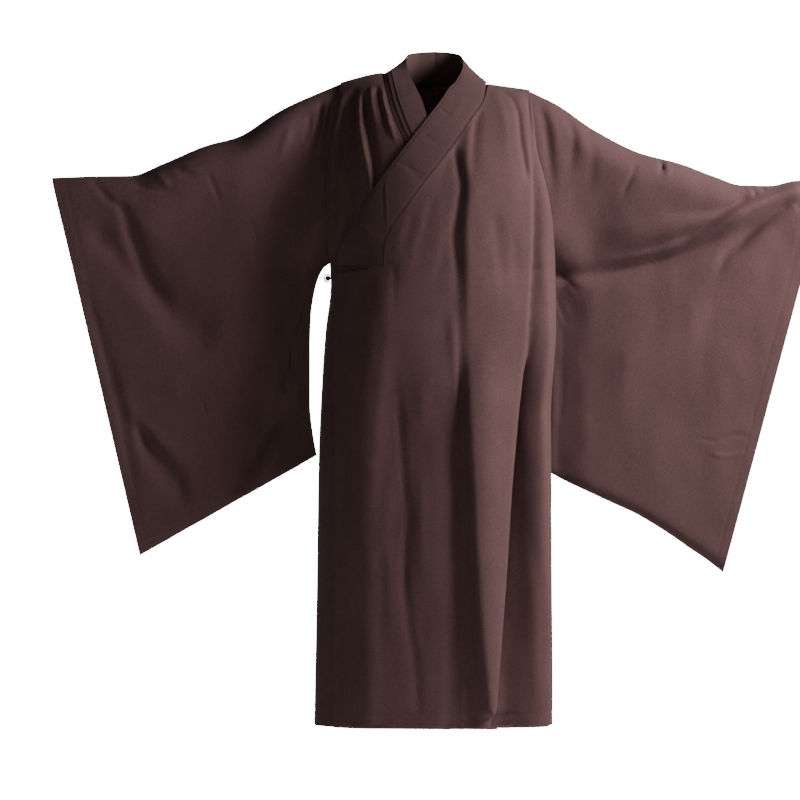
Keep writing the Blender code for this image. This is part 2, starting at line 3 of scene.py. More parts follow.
import bpy
import numpy as np
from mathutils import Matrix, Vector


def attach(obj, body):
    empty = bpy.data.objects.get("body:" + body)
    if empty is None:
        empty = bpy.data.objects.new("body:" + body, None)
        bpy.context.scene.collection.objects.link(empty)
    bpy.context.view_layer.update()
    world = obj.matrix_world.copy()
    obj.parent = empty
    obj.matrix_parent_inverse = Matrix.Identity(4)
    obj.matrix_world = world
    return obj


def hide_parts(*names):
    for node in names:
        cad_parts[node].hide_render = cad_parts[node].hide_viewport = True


# The robe's solids, which every piece below follows. Metres, +Z up, the front faces -Y and
# the robe's own left is at +X. The origin is where the shoulders carry it.
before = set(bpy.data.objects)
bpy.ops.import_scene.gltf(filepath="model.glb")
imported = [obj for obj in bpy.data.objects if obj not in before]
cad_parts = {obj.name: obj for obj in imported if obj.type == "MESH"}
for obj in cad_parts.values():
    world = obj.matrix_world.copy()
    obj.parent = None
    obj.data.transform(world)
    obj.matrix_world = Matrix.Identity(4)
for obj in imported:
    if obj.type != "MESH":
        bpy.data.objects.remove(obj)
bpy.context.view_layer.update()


# Camera, floor and light. A level camera stands far in front of the robe, and the frame is
# 1.6 m wide at the shoulders. The pale floor ends behind the robe, and far beyond it stands a
# glowing white backdrop. A broad key light stands at the front right, and
# weaker ones at the left and behind.
FRAME_WIDTH = 1.600
VIEW_X = -0.070
VIEW_Z = -0.660
CAMERA_DISTANCE = 12.0
SENSOR = 36.0
FLOOR_Z = -1.62
FLOOR_BACK = 2.25
STAGE_HALF = 7.0
GLOW_Y = 22.0
GLOW_HALF = 3.2


def add_light(name, place, aim, size, watts, colour):
    """A square area light at a place, turned to face the aim."""
    data = bpy.data.lights.new(name, "AREA")
    data.shape = "SQUARE"
    data.size = size
    data.energy = watts
    data.color = colour
    light = bpy.data.objects.new(name, data)
    bpy.context.scene.collection.objects.link(light)
    light.location = place
    away = light.location - Vector(aim)
    light.rotation_euler = away.to_track_quat("Z", "Y").to_euler()


camera_data = bpy.data.cameras.new("front_camera")
camera_data.sensor_width = SENSOR
camera_data.lens = SENSOR * CAMERA_DISTANCE / FRAME_WIDTH
camera_data.clip_end = 60.0
camera = bpy.data.objects.new("front_camera", camera_data)
camera.location = (VIEW_X, -CAMERA_DISTANCE, VIEW_Z)
camera.rotation_euler = (math.pi / 2, 0.0, 0.0)
bpy.context.scene.collection.objects.link(camera)
bpy.context.scene.camera = camera


def stage_panel(name, corners, colour, glow):
    """A flat four-cornered panel of the studio, painted, and lit from within when glow is above 0."""
    mesh = bpy.data.meshes.new(name)
    mesh.from_pydata(corners, [], [(0, 1, 2, 3)])
    panel = bpy.data.objects.new(name, mesh)
    bpy.context.scene.collection.objects.link(panel)
    paint = bpy.data.materials.new(name)
    paint.use_nodes = True
    shader = paint.node_tree.nodes["Principled BSDF"]
    shader.inputs["Base Color"].default_value = (*colour, 1.0)
    shader.inputs["Roughness"].default_value = 0.9
    shader.inputs["Emission Color"].default_value = (1.0, 1.0, 1.0, 1.0)
    shader.inputs["Emission Strength"].default_value = glow
    mesh.materials.append(paint)


stage_panel("pale_floor", [(-STAGE_HALF, -STAGE_HALF, FLOOR_Z), (STAGE_HALF, -STAGE_HALF, FLOOR_Z),
                           (STAGE_HALF, FLOOR_BACK, FLOOR_Z), (-STAGE_HALF, FLOOR_BACK, FLOOR_Z)],
            (0.90, 0.90, 0.90), 0.0)
stage_panel("glowing_backdrop", [(-GLOW_HALF, GLOW_Y, VIEW_Z - GLOW_HALF),
                                 (GLOW_HALF, GLOW_Y, VIEW_Z - GLOW_HALF),
                                 (GLOW_HALF, GLOW_Y, VIEW_Z + GLOW_HALF),
                                 (-GLOW_HALF, GLOW_Y, VIEW_Z + GLOW_HALF)],
            (0.50, 0.50, 0.50), 16.0)

robe_middle = (0.0, 0.0, -0.60)
add_light("key_light", (1.88, -0.78, 0.45), (0.1, 0.0, -0.62), 0.80, 110.0, (1.0, 0.97, 0.97))
add_light("fill_light", (-2.6, -4.2, 0.6), robe_middle, 2.5, 13.5, (1.0, 0.98, 0.98))
add_light("back_light", (-1.2, 4.6, 1.0), robe_middle, 2.2, 60.0, (1.0, 1.0, 1.0))

world = bpy.data.worlds.new("studio_air")
world.use_nodes = True
world.node_tree.nodes["Background"].inputs["Color"].default_value = (1.0, 1.0, 1.0, 1.0)
world.node_tree.nodes["Background"].inputs["Strength"].default_value = 0.075
bpy.context.scene.world = world


# The right front, which lies under the other one. One panel of matte plain-weave cloth, cut
# whole with its hem turned up and stitched. Only its chest and a strip along the side show.
# It brings the cloth, the body's form and the way that a panel is made.
CLOTH = 0.0013
SEAM = 0.0003
HEM = -1.309
ARMPIT = -0.400
LAP_END = -0.394
ARMHOLE_SHARE = 0.40
LIP_TURN = math.radians(28.0)
LIP_SHARE_LOW = math.sin(LIP_TURN) / (1.0 + math.sin(LIP_TURN))
LIP_SHARE_HIGH = 0.57
NECK_HALF_WIDTH = 0.105
UNDER_DROP = 0.0070
UNDER_EDGE_X = 0.130
HEM_DEPTH = 0.030
HEM_DENT = 0.0007
FOLD_EASE = 0.22
PATH_STEPS = 30
OPENING_RISE = 0.30

# height, left side, right side, front depth, back depth
BODY = (
    (-1.309, -0.241, 0.228, 0.176, 0.168),
    (-1.050, -0.236, 0.233, 0.169, 0.157),
    (-0.778, -0.232, 0.237, 0.162, 0.144),
    (-0.600, -0.224, 0.239, 0.157, 0.135),
    (-0.520, -0.218, 0.239, 0.154, 0.132),
    (-0.430, -0.208, 0.239, 0.151, 0.130),
    (-0.400, -0.209, 0.239, 0.150, 0.130),
    (-0.340, -0.214, 0.236, 0.150, 0.130),
    (-0.260, -0.216, 0.228, 0.150, 0.130),
    (-0.120, -0.208, 0.202, 0.150, 0.130),
    (0.000, -0.188, 0.188, 0.150, 0.130),
)

# across, height
SHOULDER = ((-0.188, -0.025), (-0.100, -0.006), (0.000, -0.010), (0.104, -0.028), (0.188, -0.040))

# The front's broad hanging folds
# height of top, bottom; across at top, middle, bottom; half width; rise
BODY_FOLDS = (
    (-0.500, -1.309, 0.046, 0.050, 0.052, 0.016, -0.0050),
    (-0.460, -1.309, 0.100, 0.100, 0.100, 0.034, 0.011),
    (-0.500, -1.309, -0.060, -0.064, -0.042, 0.034, -0.0030),
    (-0.420, -1.309, -0.140, -0.150, -0.160, 0.036, 0.008),
)

# The front's finer folds and creases
# path of across and height; width on its left, on its right; width's change; roundness; rise; starts in,
# ends in
FRONT_CREASES = (
    (((0.088, -0.060), (0.076, -0.140), (0.072, -0.192), (0.074, -0.250)), 0.006, 0.010, 1.4, 2, -0.0040, 0.2,
     0.5),
    (((0.036, -0.150), (0.045, -0.200), (0.052, -0.238), (0.046, -0.286), (0.039, -0.335), (0.044, -0.410),
      (0.044, -0.500)), 0.005, 0.008, 1.8, 2, -0.0062, 0.10, 0.3),
    (((0.034, -0.150), (0.022, -0.190), (0.012, -0.225), (0.004, -0.275)), 0.006, 0.010, 1.8, 2, -0.0018, 0.2,
     0.5),
    (((0.000, -0.235), (-0.019, -0.320), (-0.031, -0.366), (-0.036, -0.430)), 0.006, 0.012, 1.7, 2, -0.0016,
     0.2, 0.5),
    (((0.028, -0.300), (0.020, -0.350), (0.006, -0.412), (-0.004, -0.480)), 0.006, 0.012, 1.7, 2, -0.0014,
     0.3, 0.5),
    (((-0.040, -0.290), (-0.058, -0.340), (-0.066, -0.400)), 0.006, 0.010, 1.5, 2, -0.0014, 0.2, 0.5),
    (((0.130, -0.040), (0.153, -0.062), (0.165, -0.094), (0.169, -0.140), (0.177, -0.185), (0.187, -0.238)),
     0.007, 0.006, 1.1, 2, -0.0065, 0.10, 0.15),
    (((0.112, -0.040), (0.128, -0.075), (0.138, -0.130), (0.140, -0.200)), 0.010, 0.008, 1.2, 2, 0.0030, 0.15,
     0.5),
    (((0.176, -0.040), (0.188, -0.070), (0.1935, -0.130), (0.197, -0.205), (0.198, -0.280), (0.196, -0.360),
      (0.191, -0.433), (0.185, -0.520), (0.178, -0.620), (0.170, -0.760), (0.160, -0.900), (0.151, -1.030),
      (0.140, -1.160), (0.128, -1.270)), 0.006, 0.015, 0.7, 2, -0.0090, 0.04, 0.05),
    (((0.192, -0.500), (0.184, -0.620), (0.174, -0.720), (0.164, -0.830), (0.156, -0.960), (0.146, -1.080),
      (0.134, -1.200), (0.122, -1.309)), 0.008, 0.052, 1.0, 1.25, -0.0560, 0.25, 0.0),
    (((0.182, -0.740), (0.176, -0.880), (0.168, -1.000), (0.162, -1.140), (0.156, -1.309)),
     0.018, 0.034, 1.2, 2, -0.0130, 0.30, 0.0),
    (((0.212, -0.260), (0.213, -0.480), (0.213, -0.700), (0.214, -0.900), (0.214, -1.100), (0.212, -1.309)),
     0.034, 0.017, 1.3, 2, 0.0190, 0.35, 0.0),
    (((0.111, -0.290), (0.119, -0.320), (0.124, -0.368), (0.131, -0.416), (0.140, -0.480)),
     0.008, 0.014, 1.6, 2, -0.0024, 0.25, 0.4),
    (((0.150, -0.300), (0.157, -0.390), (0.152, -0.460)), 0.013, 0.012, 1.0, 2, -0.0026, 0.3, 0.4),
    (((0.068, -0.500), (0.071, -0.660), (0.077, -0.800), (0.083, -0.950), (0.089, -1.080), (0.096, -1.190),
      (0.103, -1.292)), 0.018, 0.064, 0.50, 1.5, 0.0215, 0.25, 0.03),
    (((0.064, -0.080), (0.064, -0.200), (0.061, -0.340), (0.063, -0.480), (0.068, -0.620)),
     0.012, 0.064, 1.0, 1.6, 0.0075, 0.25, 0.3),
    (((0.052, -0.560), (0.060, -0.700), (0.068, -0.900), (0.073, -1.080), (0.078, -1.250)),
     0.014, 0.008, 0.8, 2, -0.0055, 0.3, 0.12),
    (((0.034, -0.470), (0.038, -0.560), (0.040, -0.680), (0.034, -0.790)), 0.012, 0.0045, 1.0, 2, 0.0032,
     0.25, 0.4),
    (((0.016, -0.640), (0.008, -0.760), (0.004, -0.900), (0.008, -1.060), (0.014, -1.200)),
     0.020, 0.020, 1.0, 2, 0.0026, 0.3, 0.3),
    (((-0.079, -0.392), (-0.079, -0.430), (-0.080, -0.500)), 0.0035, 0.0035, 1.2, 2, -0.0014, 0.12, 0.5),
    (((-0.072, -0.600), (-0.070, -0.700), (-0.058, -0.849), (-0.054, -0.912), (-0.059, -1.018),
      (-0.052, -1.100),
      (-0.036, -1.207), (-0.034, -1.300)), 0.007, 0.008, 1.2, 2, -0.0028, 0.15, 0.1),
    (((-0.056, -0.900), (-0.060, -0.960), (-0.057, -1.060)), 0.004, 0.005, 1.0, 2, -0.0022, 0.3, 0.3),
    (((-0.094, -0.400), (-0.098, -0.520), (-0.108, -0.620), (-0.122, -0.720), (-0.126, -0.900),
      (-0.124, -1.100),
      (-0.130, -1.309)), 0.060, 0.024, 1.0, 2, 0.0052, 0.08, 0.0),
    (((-0.090, -0.760), (-0.094, -0.900), (-0.088, -1.050), (-0.086, -1.200)), 0.012, 0.014, 1.3, 2, 0.0026,
     0.3, 0.3),
    (((-0.168, -0.460), (-0.172, -0.640), (-0.176, -0.900), (-0.178, -1.150)), 0.010, 0.012, 1.5, 2, -0.0030,
     0.3, 0.3),
    (((-0.148, -0.900), (-0.152, -1.060), (-0.150, -1.300)), 0.009, 0.010, 1.2, 2, -0.0022, 0.4, 0.0),
    (((0.170, -0.620), (0.184, -0.800), (0.186, -1.000), (0.180, -1.200)), 0.014, 0.010, 1.2, 2, -0.0042, 0.3,
     0.2),
    (((0.160, -1.050), (0.168, -1.110), (0.176, -1.150)), 0.006, 0.009, 1.2, 2, -0.0010, 0.3, 0.4),
    (((0.206, -0.300), (0.216, -0.500), (0.214, -0.800), (0.206, -1.100), (0.200, -1.290)),
     0.010, 0.016, 1.0, 2, 0.0040, 0.2, 0.1),
    (((0.198, -0.900), (0.208, -1.050), (0.205, -1.250)), 0.006, 0.008, 1.2, 2, -0.0026, 0.3, 0.2),
    (((-0.020, -0.760), (-0.026, -0.880), (-0.020, -1.050)), 0.012, 0.010, 1.1, 2, 0.0022, 0.4, 0.4),
    (((0.026, -1.080), (0.032, -1.190), (0.024, -1.309)), 0.010, 0.012, 1.2, 2, -0.0040, 0.4, 0.0),
    (((0.052, -1.180), (0.054, -1.250), (0.052, -1.309)), 0.008, 0.010, 1.1, 2, 0.0030, 0.4, 0.0),
)

# The right chest's folds, which hang from the shoulder and run under the collar
CHEST_CREASES = (
    (((-0.150, -0.040), (-0.149, -0.104), (-0.141, -0.157), (-0.130, -0.211), (-0.122, -0.262)),
     0.006, 0.0045, 1.0, 2, 0.0060, 0.12, 0.1),
    (((-0.142, -0.050), (-0.139, -0.098), (-0.131, -0.144), (-0.118, -0.211), (-0.108, -0.250)),
     0.004, 0.008, 1.3, 2, -0.0065, 0.12, 0.1),
    (((-0.160, -0.030), (-0.160, -0.110), (-0.166, -0.200), (-0.168, -0.280), (-0.176, -0.350)),
     0.009, 0.007, 1.5, 2, -0.0070, 0.10, 0.1),
    (((-0.126, -0.030), (-0.127, -0.060), (-0.120, -0.100), (-0.108, -0.140)), 0.005, 0.005, 1.3, 2, 0.0030,
     0.2, 0.5),
    (((-0.116, -0.030), (-0.108, -0.070), (-0.100, -0.105), (-0.090, -0.140)), 0.005, 0.004, 1.2, 2, -0.0040,
     0.2, 0.4),
    (((-0.108, -0.030), (-0.099, -0.075), (-0.088, -0.120), (-0.072, -0.165)), 0.004, 0.005, 1.2, 2, 0.0040,
     0.2, 0.4),
    (((-0.188, -0.060), (-0.202, -0.108), (-0.212, -0.180), (-0.2185, -0.280), (-0.2180, -0.370)),
     0.006, 0.006, 1.0, 2, -0.0030, 0.15, 0.1),
    (((-0.180, -0.045), (-0.196, -0.120), (-0.206, -0.200), (-0.212, -0.280), (-0.210, -0.370)),
     0.007, 0.007, 0.8, 2, 0.0060, 0.12, 0.1),
    (((-0.172, -0.060), (-0.190, -0.160), (-0.200, -0.240), (-0.202, -0.330)), 0.006, 0.006, 1.1, 2, -0.0045,
     0.15, 0.15),
    (((-0.178, -0.180), (-0.184, -0.260), (-0.190, -0.350)), 0.007, 0.006, 1.0, 2, 0.0030, 0.3, 0.2),
    (((-0.140, -0.200), (-0.150, -0.270), (-0.156, -0.330)), 0.010, 0.009, 1.0, 2, 0.0030, 0.4, 0.3),
    (((-0.100, -0.170), (-0.108, -0.215), (-0.112, -0.250)), 0.006, 0.007, 1.0, 2, 0.0022, 0.4, 0.3),
)

# The collar's right half, from its hidden end to the neck
# inner edge across, height; outer edge across, height
COLLAR_RIGHT = (
    (0.176, -0.3700, 0.128, -0.3920),
    (0.130, -0.318, 0.080, -0.344),
    (0.072, -0.240, 0.016, -0.268),
    (0.020, -0.166, -0.036, -0.190),
    (-0.014, -0.104, -0.066, -0.134),
    (-0.034, -0.050, -0.090, -0.072),
)

# The collar's left half, from its lapped end to the neck
COLLAR_LEFT = (
    (-0.200, -0.3932, -0.101, -0.3932),
    (-0.188, -0.360, -0.100, -0.358),
    (-0.159, -0.312, -0.088, -0.326),
    (-0.122, -0.246, -0.052, -0.272),
    (-0.080, -0.188, -0.014, -0.220),
    (-0.030, -0.122, 0.028, -0.166),
    (0.010, -0.070, 0.066, -0.110),
    (0.038, -0.034, 0.095, -0.066),
)


def smooth(table_x, table_y, x):
    """Value at x on a cubic through a table's rows, each slope the harmonic mean of the steps beside it."""
    xs = np.asarray(table_x, float)
    ys = np.asarray(table_y, float)
    step = np.diff(xs)
    rise = np.diff(ys) / step
    same = rise[:-1] * rise[1:] > 0
    mean = np.zeros(len(xs) - 2)
    mean[same] = 2.0 / (1.0 / rise[:-1][same] + 1.0 / rise[1:][same])
    slope = np.concatenate(([rise[0]], mean, [rise[-1]]))
    x = np.clip(x, xs[0], xs[-1])
    k = np.clip(np.searchsorted(xs, x, side="right") - 1, 0, len(step) - 1)
    t = (x - xs[k]) / step[k]
    return (ys[k] * (1 + 2 * t) * (1 - t) ** 2 + ys[k + 1] * t * t * (3 - 2 * t)
            + step[k] * (slope[k] * t * (1 - t) ** 2 - slope[k + 1] * t * t * (1 - t)))


def column(table, index):
    """One column of a table, as an array."""
    return np.array([row[index] for row in table], float)


def ease(t):
    """3 t^2 - 2 t^3 with t held between 0 and 1."""
    t = np.clip(t, 0.0, 1.0)
    return t * t * (3.0 - 2.0 * t)


def shoulder_height(x):
    """Height of the shoulder line at a place across the body, read from its table."""
    return smooth(column(SHOULDER, 0), column(SHOULDER, 1), x)


def rise_share(level):
    """0 at the armpit and below, 1 on the shoulder line, in proportion between them."""
    return np.clip((level - ARMPIT) / -ARMPIT, 0.0, 1.0)


def true_height(level, x):
    """A row's height: level below the armpit, and above it a share of the way to the shoulder line."""
    return np.where(level < ARMPIT, level, ARMPIT + rise_share(level) * (shoulder_height(x) - ARMPIT))


def level_of(x, z):
    """The row on which a place across the body and a height lie, the inverse of true_height."""
    share = (z - ARMPIT) / (shoulder_height(x) - ARMPIT)
    return np.where(z < ARMPIT, z, ARMPIT - ARMPIT * np.clip(share, 0.0, 1.0))


def body_column(level, index):
    """A column of the body's table, at any height."""
    return smooth(column(BODY, 0), column(BODY, index), level)


def opening_share(level):
    """The armhole's depth: the sine of a quarter turn over the lowest OPENING_RISE of its height."""
    return np.sin(np.clip(rise_share(level) / OPENING_RISE, 0.0, 1.0) * math.pi / 2)


def lip_turn(level):
    """How far the left front rolls under in front of the sleeve, eased to nothing at the shoulder line."""
    return LIP_TURN * (1.0 - ease((rise_share(level) - 0.25) / 0.75))


def fold_rise(folds, x, z):
    """Sum of broad folds: rise times exp(-(x - centre)^2 / half width^2), eased in over FOLD_EASE below its
    top."""
    total = np.zeros(np.broadcast(x, z).shape)
    for top, bottom, x_top, x_mid, x_low, half_width, rise in folds:
        down = np.clip((top - z) / (top - bottom), 0.0, 1.0)
        centre = smooth((0.0, 0.45, 1.0), (x_top, x_mid, x_low), down)
        total = total + rise * ease((top - z) / FOLD_EASE) * np.exp(-((x - centre) / half_width) ** 2)
    return total


def crease_rise(creases, x, z):
    """Sum of creases: rise times exp(-(distance to the path / width) ^ roundness), eased in and out along
    it."""
    x, z = (np.array(v, float) for v in np.broadcast_arrays(x, z))
    total = np.zeros(x.shape)
    steps = PATH_STEPS
    for path, left, right, change, roundness, rise, start, end in creases:
        knots = np.array(path)
        share = np.linspace(0.0, 1.0, len(knots))
        line_x = smooth(share, knots[:, 0], np.linspace(0.0, 1.0, steps + 1))
        line_z = smooth(share, knots[:, 1], np.linspace(0.0, 1.0, steps + 1))
        reach = 2.6 * max(left, right) * max(1.0, change)
        inside = ((x > line_x.min() - reach) & (x < line_x.max() + reach)
                  & (z > line_z.min() - reach) & (z < line_z.max() + reach))
        px, pz = x[inside], z[inside]
        best = np.full(px.shape, np.inf)
        side = np.zeros(px.shape)
        place = np.zeros(px.shape)
        for k in range(steps):
            dx, dz = line_x[k + 1] - line_x[k], line_z[k + 1] - line_z[k]
            ox, oz = px - line_x[k], pz - line_z[k]
            t = np.clip((ox * dx + oz * dz) / (dx * dx + dz * dz), 0.0, 1.0)
            gap = (ox - t * dx) ** 2 + (oz - t * dz) ** 2
            near = gap < best
            best[near] = gap[near]
            side[near] = (dx * oz - dz * ox)[near]
            place[near] = ((k + t) / steps)[near]
        width = np.where(side > 0, right, left) * (1.0 + (change - 1.0) * place)
        fade = ease(place / max(start, 1e-3)) * ease((1.0 - place) / max(end, 1e-3))
        total[inside] += rise * fade * np.exp(-(np.sqrt(best) / width) ** roundness)
    return total


def crumple(u, v, size_u, size_v, seed):
    """Soft unevenness between -1 and 1: seeded values on a lattice, joined by eased steps both ways."""
    values = np.random.default_rng(seed).uniform(-1.0, 1.0, (97, 97))
    a, b = u / size_u + 41.3, v / size_v + 37.7
    i, j = np.floor(a).astype(int), np.floor(b).astype(int)
    s, t = ease(a - i), ease(b - j)
    i, j = i % 96, j % 96
    low = values[i, j] * (1 - s) + values[i + 1, j] * s
    high = values[i, j + 1] * (1 - s) + values[i + 1, j + 1] * s
    return low * (1 - t) + high * t


def front_surface(angle, level):
    """The front: half an ellipse across, x = half * sin(angle), y = -depth * cos(angle), flattened at both
    ends."""
    share = rise_share(level)
    depth = body_column(level, 3) * np.sqrt(np.clip(1.0 - share ** 3, 0.0, 1.0))
    left = ARMHOLE_SHARE * opening_share(level)
    right = LIP_SHARE_LOW + (LIP_SHARE_HIGH - LIP_SHARE_LOW) * opening_share(level)
    flat = np.where(angle < 0, left, right)
    half = np.where(angle < 0, -body_column(level, 1), body_column(level, 2))
    x = half * np.sin(angle)
    z = true_height(level, x)
    turn = 1.0 - np.cos(angle)
    y = -depth * (np.cos(angle) + flat * np.where(angle < 0, turn ** 2, turn))
    fade = np.clip(np.cos(angle * 0.94), 0.0, 1.0) ** 0.5 * (1.0 - share ** 6)
    y = y - fold_rise(BODY_FOLDS, x, z) * fade
    return np.stack(np.broadcast_arrays(x, y, z), axis=-1)


def front_cloth(angle, level, lift):
    """The front, moved out along its own normal by lift."""
    step = 0.004
    here = front_surface(angle, level)
    side = front_surface(angle + step, level) - front_surface(angle - step, level)
    up = front_surface(angle, np.minimum(level + step, -1e-4)) - front_surface(angle, level - step)
    normal = np.cross(side, up)
    normal = normal / np.maximum(np.linalg.norm(normal, axis=-1, keepdims=True), 1e-12)
    return here + normal * np.asarray(lift)[..., None]


def front_point(x, z, lift):
    """A point on the front at a place across and a height, moved out from it by lift."""
    level = level_of(x, z)
    half = np.where(x < 0, -body_column(level, 1), body_column(level, 2))
    return front_cloth(np.arcsin(np.clip(x / half, -1.0, 1.0)), level, lift)


def grid_normals(points):
    """Unit normals of a grid of points: the cross product of the steps across it and along it."""
    normal = np.cross(np.gradient(points, axis=1), np.gradient(points, axis=0))
    return normal / np.maximum(np.linalg.norm(normal, axis=-1, keepdims=True), 1e-12)


def flat_cut(points):
    """Where each grid point lies on the flat cut, in metres: distances run across from the middle column."""
    across = np.linalg.norm(np.diff(points, axis=1), axis=-1)
    u = np.concatenate((np.zeros((len(points), 1)), np.cumsum(across, axis=1)), axis=1)
    u = u - u[:, [points.shape[1] // 2]]
    along = np.linalg.norm(np.diff(points, axis=0), axis=-1).mean(axis=1)
    v = np.concatenate(([0.0], np.cumsum(along)))[:, None] + np.zeros_like(u)
    return np.stack((u, v), axis=-1)


def finish_mesh(name, vertices, faces, uv, material, sharp=50.0):
    """A mesh object from arrays of places, four-cornered faces and cut coordinates, with its faces pointing
    out."""
    first = vertices[faces[:, 0]]
    turn = np.cross(vertices[faces[:, 1]] - first, vertices[faces[:, 2]] - first)
    turn += np.cross(vertices[faces[:, 2]] - first, vertices[faces[:, 3]] - first)
    if np.einsum("ij,ij->", first, turn) < 0:
        faces = faces[:, ::-1]
    mesh = bpy.data.meshes.new(name)
    mesh.vertices.add(len(vertices))
    mesh.vertices.foreach_set("co", np.ascontiguousarray(vertices, np.float32).ravel())
    mesh.loops.add(faces.size)
    mesh.loops.foreach_set("vertex_index", np.ascontiguousarray(faces, np.int32).ravel())
    mesh.polygons.add(len(faces))
    mesh.polygons.foreach_set("loop_start", np.arange(0, faces.size, 4, dtype=np.int32))
    mesh.update(calc_edges=True)
    mesh.validate()
    layer = mesh.uv_layers.new(name="cut")
    corners = np.zeros(len(mesh.loops), np.int32)
    mesh.loops.foreach_get("vertex_index", corners)
    layer.data.foreach_set("uv", np.ascontiguousarray(uv[corners], np.float32).ravel())
    mesh.materials.append(material)
    mesh.shade_smooth()
    mesh.set_sharp_from_angle(angle=math.radians(sharp))
    piece = bpy.data.objects.new(name, mesh)
    bpy.context.scene.collection.objects.link(piece)
    return piece


def cloth_shell(name, points, thickness, material, used=None, ring=False):
    """A closed wall over a grid of points: each point moved out and in by half the thickness, joined at open
    edges."""
    rows, columns = points.shape[:2]
    if ring:
        wide = np.concatenate((points[:, -2:], points, points[:, :2]), axis=1)
        normal = grid_normals(wide)[:, 2:-2]
    else:
        normal = grid_normals(points)
    cells = columns if ring else columns - 1
    used = np.ones((rows - 1, cells), bool) if used is None else used
    half = np.asarray(thickness)[..., None] / 2 if np.ndim(thickness) else thickness / 2
    vertices = np.concatenate(((points + normal * half).reshape(-1, 3),
                               (points - normal * half).reshape(-1, 3)))
    count = rows * columns
    i, j = np.nonzero(used)
    k = (j + 1) % columns
    a, b, c, d = i * columns + j, i * columns + k, (i + 1) * columns + k, (i + 1) * columns + j
    faces = [np.stack((a, b, c, d), axis=1), np.stack((a, d, c, b), axis=1) + count]
    around = np.pad(used, 1, mode="wrap") if ring else np.pad(used, 1)
    around[[0, -1]] = False
    for open_side, p, q in ((around[i, j + 1], a, b), (around[i + 1, j + 2], b, c),
                            (around[i + 2, j + 1], c, d), (around[i + 1, j], d, a)):
        edge = ~open_side
        faces.append(np.stack((q, p, p + count, q + count), axis=1)[edge])
    faces = np.concatenate(faces)
    cut = flat_cut(points).reshape(-1, 2)
    uv = np.concatenate((cut, cut))
    wanted = np.unique(faces)
    place = np.full(len(vertices), -1)
    place[wanted] = np.arange(len(wanted))
    return finish_mesh(name, vertices[wanted], place[faces], uv[wanted], material)


def wire(tree, *links):
    """Joins pairs of sockets, each written as node, output name, node, input name."""
    for source, out, target, into in links:
        tree.links.new(source.outputs[out], target.inputs[into])


def math_node(tree, operation, first, second=None):
    """A math node whose inputs are numbers, or node and output pairs."""
    node = tree.nodes.new("ShaderNodeMath")
    node.operation = operation
    for slot, value in enumerate((first, second)):
        if isinstance(value, tuple):
            tree.links.new(value[0].outputs[value[1]], node.inputs[slot])
        elif value is not None:
            node.inputs[slot].default_value = value
    return node


